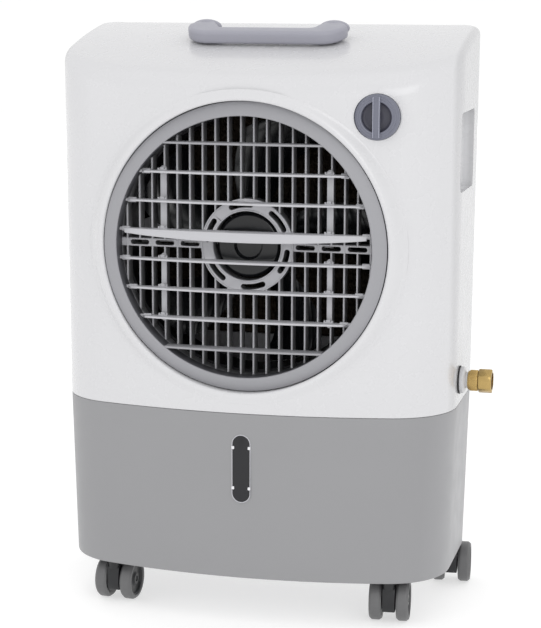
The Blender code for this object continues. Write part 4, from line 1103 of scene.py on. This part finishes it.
def cooling_pad():
    """Corrugated cellulose pad: crossing flutes cut its two faces into a honeycomb."""
    low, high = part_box("cooling_pad")
    low, high = low - BODY, high - BODY
    columns, levels = 190, 172
    xs = [low.x + (high.x - low.x) * (i / columns) for i in range(columns + 1)]
    rows = []
    for j in range(levels + 1):
        z = low.z + (high.z - low.z) * (j / levels)
        back = [(x, high.y - flute(x, z), z) for x in xs]
        rows.append(back + [(x, low.y + flute(x, z), z) for x in reversed(xs)])
    pad = grid("cellulose_pad", rows, caps=(True, True))
    place(pad, "body", "pad", "cooling_pad", angle=60)


def flute(x, z):
    """Depth of the pad's face below its outer plane."""
    pitch = 0.0125
    slope = 0.62
    one = math.sin(2 * math.pi * (x + slope * z) / pitch)
    two = math.sin(2 * math.pi * (x - slope * z) / pitch)
    return 0.0004 + 0.0042 * max(0.0, one * two) ** 0.6


# ---- casters

def caster(name):
    """Twin-wheel caster: black body and two wheels with recessed discs."""
    stem = joint_place(f"caster_{name}_swivel")
    rolls = {s: JOINTS[f"caster_{name}_{s}_roll"] for s in ("left", "right")}
    ends = {s: Vector(j["pos_m"]) - BODY for s, j in rolls.items()}
    axle = (ends["left"] + ends["right"]) / 2
    across = Vector(rolls["left"]["axis"]).normalized()
    yaw = math.atan2(across.y, across.x)
    home = Matrix.Translation((axle.x, axle.y, axle.z)) @ Matrix.Rotation(yaw, 4, "Z")
    frame_piece = caster_frame(f"caster_{name}_fork", stem.xy - axle.xy)
    frame_piece.data.transform(home)
    place(frame_piece, f"caster_{name}", "disc", f"caster_{name}_frame")
    for side, sign in SIDES:
        tread, disc = caster_wheel(f"caster_{name}_{side}", sign, axle.z)
        for obj, look in ((tread, "tread"), (disc, "disc")):
            obj.data.transform(home @ Matrix.Translation((sign * 0.016, 0, 0)))
            nodes = f"caster_{name}_wheel_{side}" if look == "tread" else ()
            place(obj, f"caster_{name}_{side}", look, nodes)


def caster_frame(name, offset):
    web = arc(0, 0, 0.0275, math.radians(35), math.radians(140), 24)
    web += [(-0.0225, 0.010), (-0.0225, -0.004), (-0.019, -0.0105), (-0.006, -0.0105)]
    web += arc(0, 0, 0.0070, math.radians(-60), math.radians(20), 12)
    piece = soften(plate(name, [web], 0.0150, facing_side()), 0.0015, 3)
    reach = -offset.length
    profile = rounded([(0, 0.065, 0), (0.0055, 0.065, 0.001), (0.0055, 0.0290, 0),
                       (0.0095, 0.0290, 0.0006), (0.0095, 0.0260, 0), (0.0070, 0.0255, 0),
                       (0.0070, 0.0170, 0), (0, 0.0170, 0)], 3, closed=False)
    stem = lathe("stem", profile, (0, reach, 0), "Z", 48, closed=False)
    pin = rod("pin", (-0.0215, 0, 0), (0.0215, 0, 0), 0.0030, 32, 0.0005)
    return join(piece, stem, pin)


def caster_wheel(name, sign, radius):
    """Grooved tread ring, and the dished disc on its outer side."""
    half = 0.0075
    corners = [(0.0195, -half + 0.0006, 0), (0.0225, -half, 0.0010), (radius, -half + 0.0030, 0.0022),
               (radius, half - 0.0030, 0.0022), (0.0225, half, 0.0010), (0.0200, half, 0.0006),
               (0.0192, half - 0.0020, 0)]
    tread = sided(name + "_tread", corners, sign)
    out = half - 0.0016
    corners = [(0.0033, -half, 0), (0.0197, -half, 0), (0.0197, out, 0.0004), (0.0178, out, 0.0006),
               (0.0165, out - 0.0022, 0.0012), (0.0095, out - 0.0016, 0.0030),
               (0.0062, out + 0.0004, 0.0008), (0.0033, out + 0.0004, 0.0004)]
    return tread, sided(name + "_disc", corners, sign)


def sided(name, corners, sign):
    """Turned piece about X, mirrored for the other side."""
    return lathe(name, [(r, sign * h) for r, h in rounded(corners, 4)], (0, 0, 0), "X", 96)


# ---- hose inlet and drain

def inlet():
    """Plastic flange, turned brass body with a knurled collar, and the hex swivel nut."""
    centre = (0, INLET_Y, INLET_Z)
    base = INLET_WALL_X + 0.0015
    neck = base + 0.0093
    corners = [(0.0078, base, 0), (0.0158, base, 0.0003), (0.0160, base + 0.0040, 0.0012),
               (0.0125, base + 0.0062, 0.0015), (0.0095, base + 0.0070, 0.0006),
               (0.0095, base + 0.0090, 0.0004), (0.0078, base + 0.0090, 0)]
    flange = lathe("hose_flange", rounded(corners, 4), centre, "X", 64)
    place(flange, "body", "housing", "inlet_flange")
    corners = [(0.0045, 0.2150, 0), (0.0073, 0.2150, 0.0004), (0.0073, neck, 0),
               (0.0112, neck, 0.0003), (0.0112, neck + 0.0012, 0), (0.0120, neck + 0.0018, 0.0003),
               (0.0120, neck + 0.0120, 0.0008), (0.0098, neck + 0.0120, 0),
               (0.0098, neck + 0.0220, 0.0005), (0.0045, neck + 0.0220, 0)]
    body = lathe("hose_body", rounded(corners, 3), centre, "X", 96)
    knurls = []
    for i in range(KNURLS):
        a = 2 * math.pi * i / KNURLS
        y, z = INLET_Y + KNURL_RADIUS * math.cos(a), INLET_Z + KNURL_RADIUS * math.sin(a)
        knurls.append(rod("knurl", (neck + 0.0025, y, z), (neck + 0.0112, y, z), 0.0006, 8, 0.0002))
    merge(body, *knurls)
    place(body, "body", "brass", "inlet_body")
    back = neck + 0.0123
    hexagon = [(NUT_RADIUS * math.cos(math.pi * k / 3), NUT_RADIUS * math.sin(math.pi * k / 3))
               for k in range(6)]
    turn = Matrix.Translation(((back + INLET_END_X) / 2, INLET_Y, INLET_Z))
    turn = turn @ Matrix.Rotation(math.radians(90), 4, "Y")
    nut = plate("hose_nut_hex", [hexagon], INLET_END_X - back, turn)
    soften(nut, 0.0009, 3)
    chamfer = lathe("chamfer", [(0.0, back - 0.002), (0.0128, back - 0.002), (0.0148, back + 0.0030),
                                (0.0148, INLET_END_X - 0.0030), (0.0128, INLET_END_X + 0.002),
                                (0.0, INLET_END_X + 0.002)], centre, "X", 64, closed=False)
    boolean(nut, "INTERSECT", chamfer)
    cut(nut, rod("bore", (back - 0.01, INLET_Y, INLET_Z), (INLET_END_X + 0.01, INLET_Y, INLET_Z),
                 0.0102, 64))
    place(nut, "hose_nut", "brass", "swivel_nut")


def drain():
    centre = (DRAIN_X, 0, DRAIN_Z)
    corners = [(0, 0.219, 0), (0.0097, 0.219, 0.0006), (0.0097, 0.2302, 0), (0.0165, 0.2302, 0.0004),
               (0.0165, 0.2385, 0.0012), (0.0140, 0.2400, 0.0010), (0, 0.2400, 0)]
    cap = lathe("drain_cap_body", rounded(corners, 4, closed=False), centre, "Y", 96, closed=False)
    grip = block("grip", (centre[0] - 0.0025, 0.238, centre[2] - 0.013),
                 (centre[0] + 0.0025, 0.2458, centre[2] + 0.013), 0.0011, 4)
    merge(cap, grip)
    place(cap, "drain_cap", "black", "drain_plug")


# ---- CAD nodes that stay

# The duct look on the fan shroud is dark grey plastic darkened further as painted shade
CARRIED = {
    "fan_shroud": "duct", "fan_motor": "motor", "motor_bracket": "steel", "motor_shaft": "steel",
    "rotary_switch": "black", "handle_pin_left": "steel", "handle_pin_right": "steel",
    "pad_frame": "trim", "distributor_tray": "trim", "water_pump": "black",
    "riser_tube": "trim", "power_gland": "black", "inlet_gasket": "rubber",
    "float_valve": "trim", "float_arm": "brass", "float_ball": "float", "level_float": "float",
}


def carried_nodes():
    for name, look in CARRIED.items():
        data = frame["nodes"][name].data
        data.materials.clear()
        data.materials.append(LOOKS[look][1])


# ---- studio and camera

def camera():
    data = bpy.data.cameras.new("camera")
    data.lens = CAMERA_LENS
    data.sensor_width = 36.0
    data.clip_end = 50.0
    obj = new_object("camera", data)
    turn = (Matrix.Rotation(CAMERA_YAW, 4, "Z")
            @ Matrix.Rotation(math.pi / 2 + CAMERA_PITCH, 4, "X")
            @ Matrix.Rotation(CAMERA_ROLL, 4, "Z"))
    centre = Vector((BODY.x, BODY.y, OUTLET_Z))
    obj.matrix_world = Matrix.Translation(centre + CAMERA_OFFSET) @ turn
    bpy.context.scene.camera = obj


def area_light(name, location, target, size, power):
    data = bpy.data.lights.new(name, "AREA")
    data.shape = "RECTANGLE"
    data.size, data.size_y = size
    data.energy = power
    obj = new_object(name, data)
    obj.location = location
    aim = Vector(target) - Vector(location)
    obj.rotation_euler = aim.to_track_quat("-Z", "Y").to_euler()


def studio():
    bm = bmesh.new()
    bmesh.ops.create_grid(bm, x_segments=2, y_segments=2, size=8.0)
    floor = from_bmesh("studio_floor", bm)
    mat = surface("floor_white", (0.52, 0.52, 0.52), 0.75, variation=0.004, patch=1.2, grain=40,
                  bump=0.0, gloss_spread=0.03)
    shader = mat.node_tree.nodes["Principled BSDF"]
    set_inputs(shader, {"Emission Color": (1.0, 1.0, 1.0, 1.0), "Emission Strength": 0.55})
    floor.data.materials.append(mat)
    world = bpy.data.worlds.new("studio")
    world.use_nodes = True
    set_inputs(world.node_tree.nodes["Background"], {"Color": (1.0, 1.0, 1.0, 1.0), "Strength": 1.01})
    bpy.context.scene.world = world
    bpy.context.scene.view_settings.view_transform = "Standard"
    area_light("key_right", (1.3, -2.6, 1.5), (0.0, 0.0, 0.40), (1.4, 1.4), 13.0)
    area_light("top_soft", (-0.2, -0.6, 2.6), (0.0, 0.0, 0.35), (2.0, 1.4), 2.0)
    area_light("fill_left", (-2.4, -1.8, 1.2), (0.0, 0.0, 0.40), (1.4, 1.8), 2.0)


camera()
studio()
upper_housing()
handle_ears()
outlet_lip()
water_tank()
level_window()
bezel()
outlet_blades()
guard()
fan()
knob()
handle()
rear_grille()
cooling_pad()
for caster_name in CASTERS:
    caster(caster_name)
inlet()
drain()
carried_nodes()
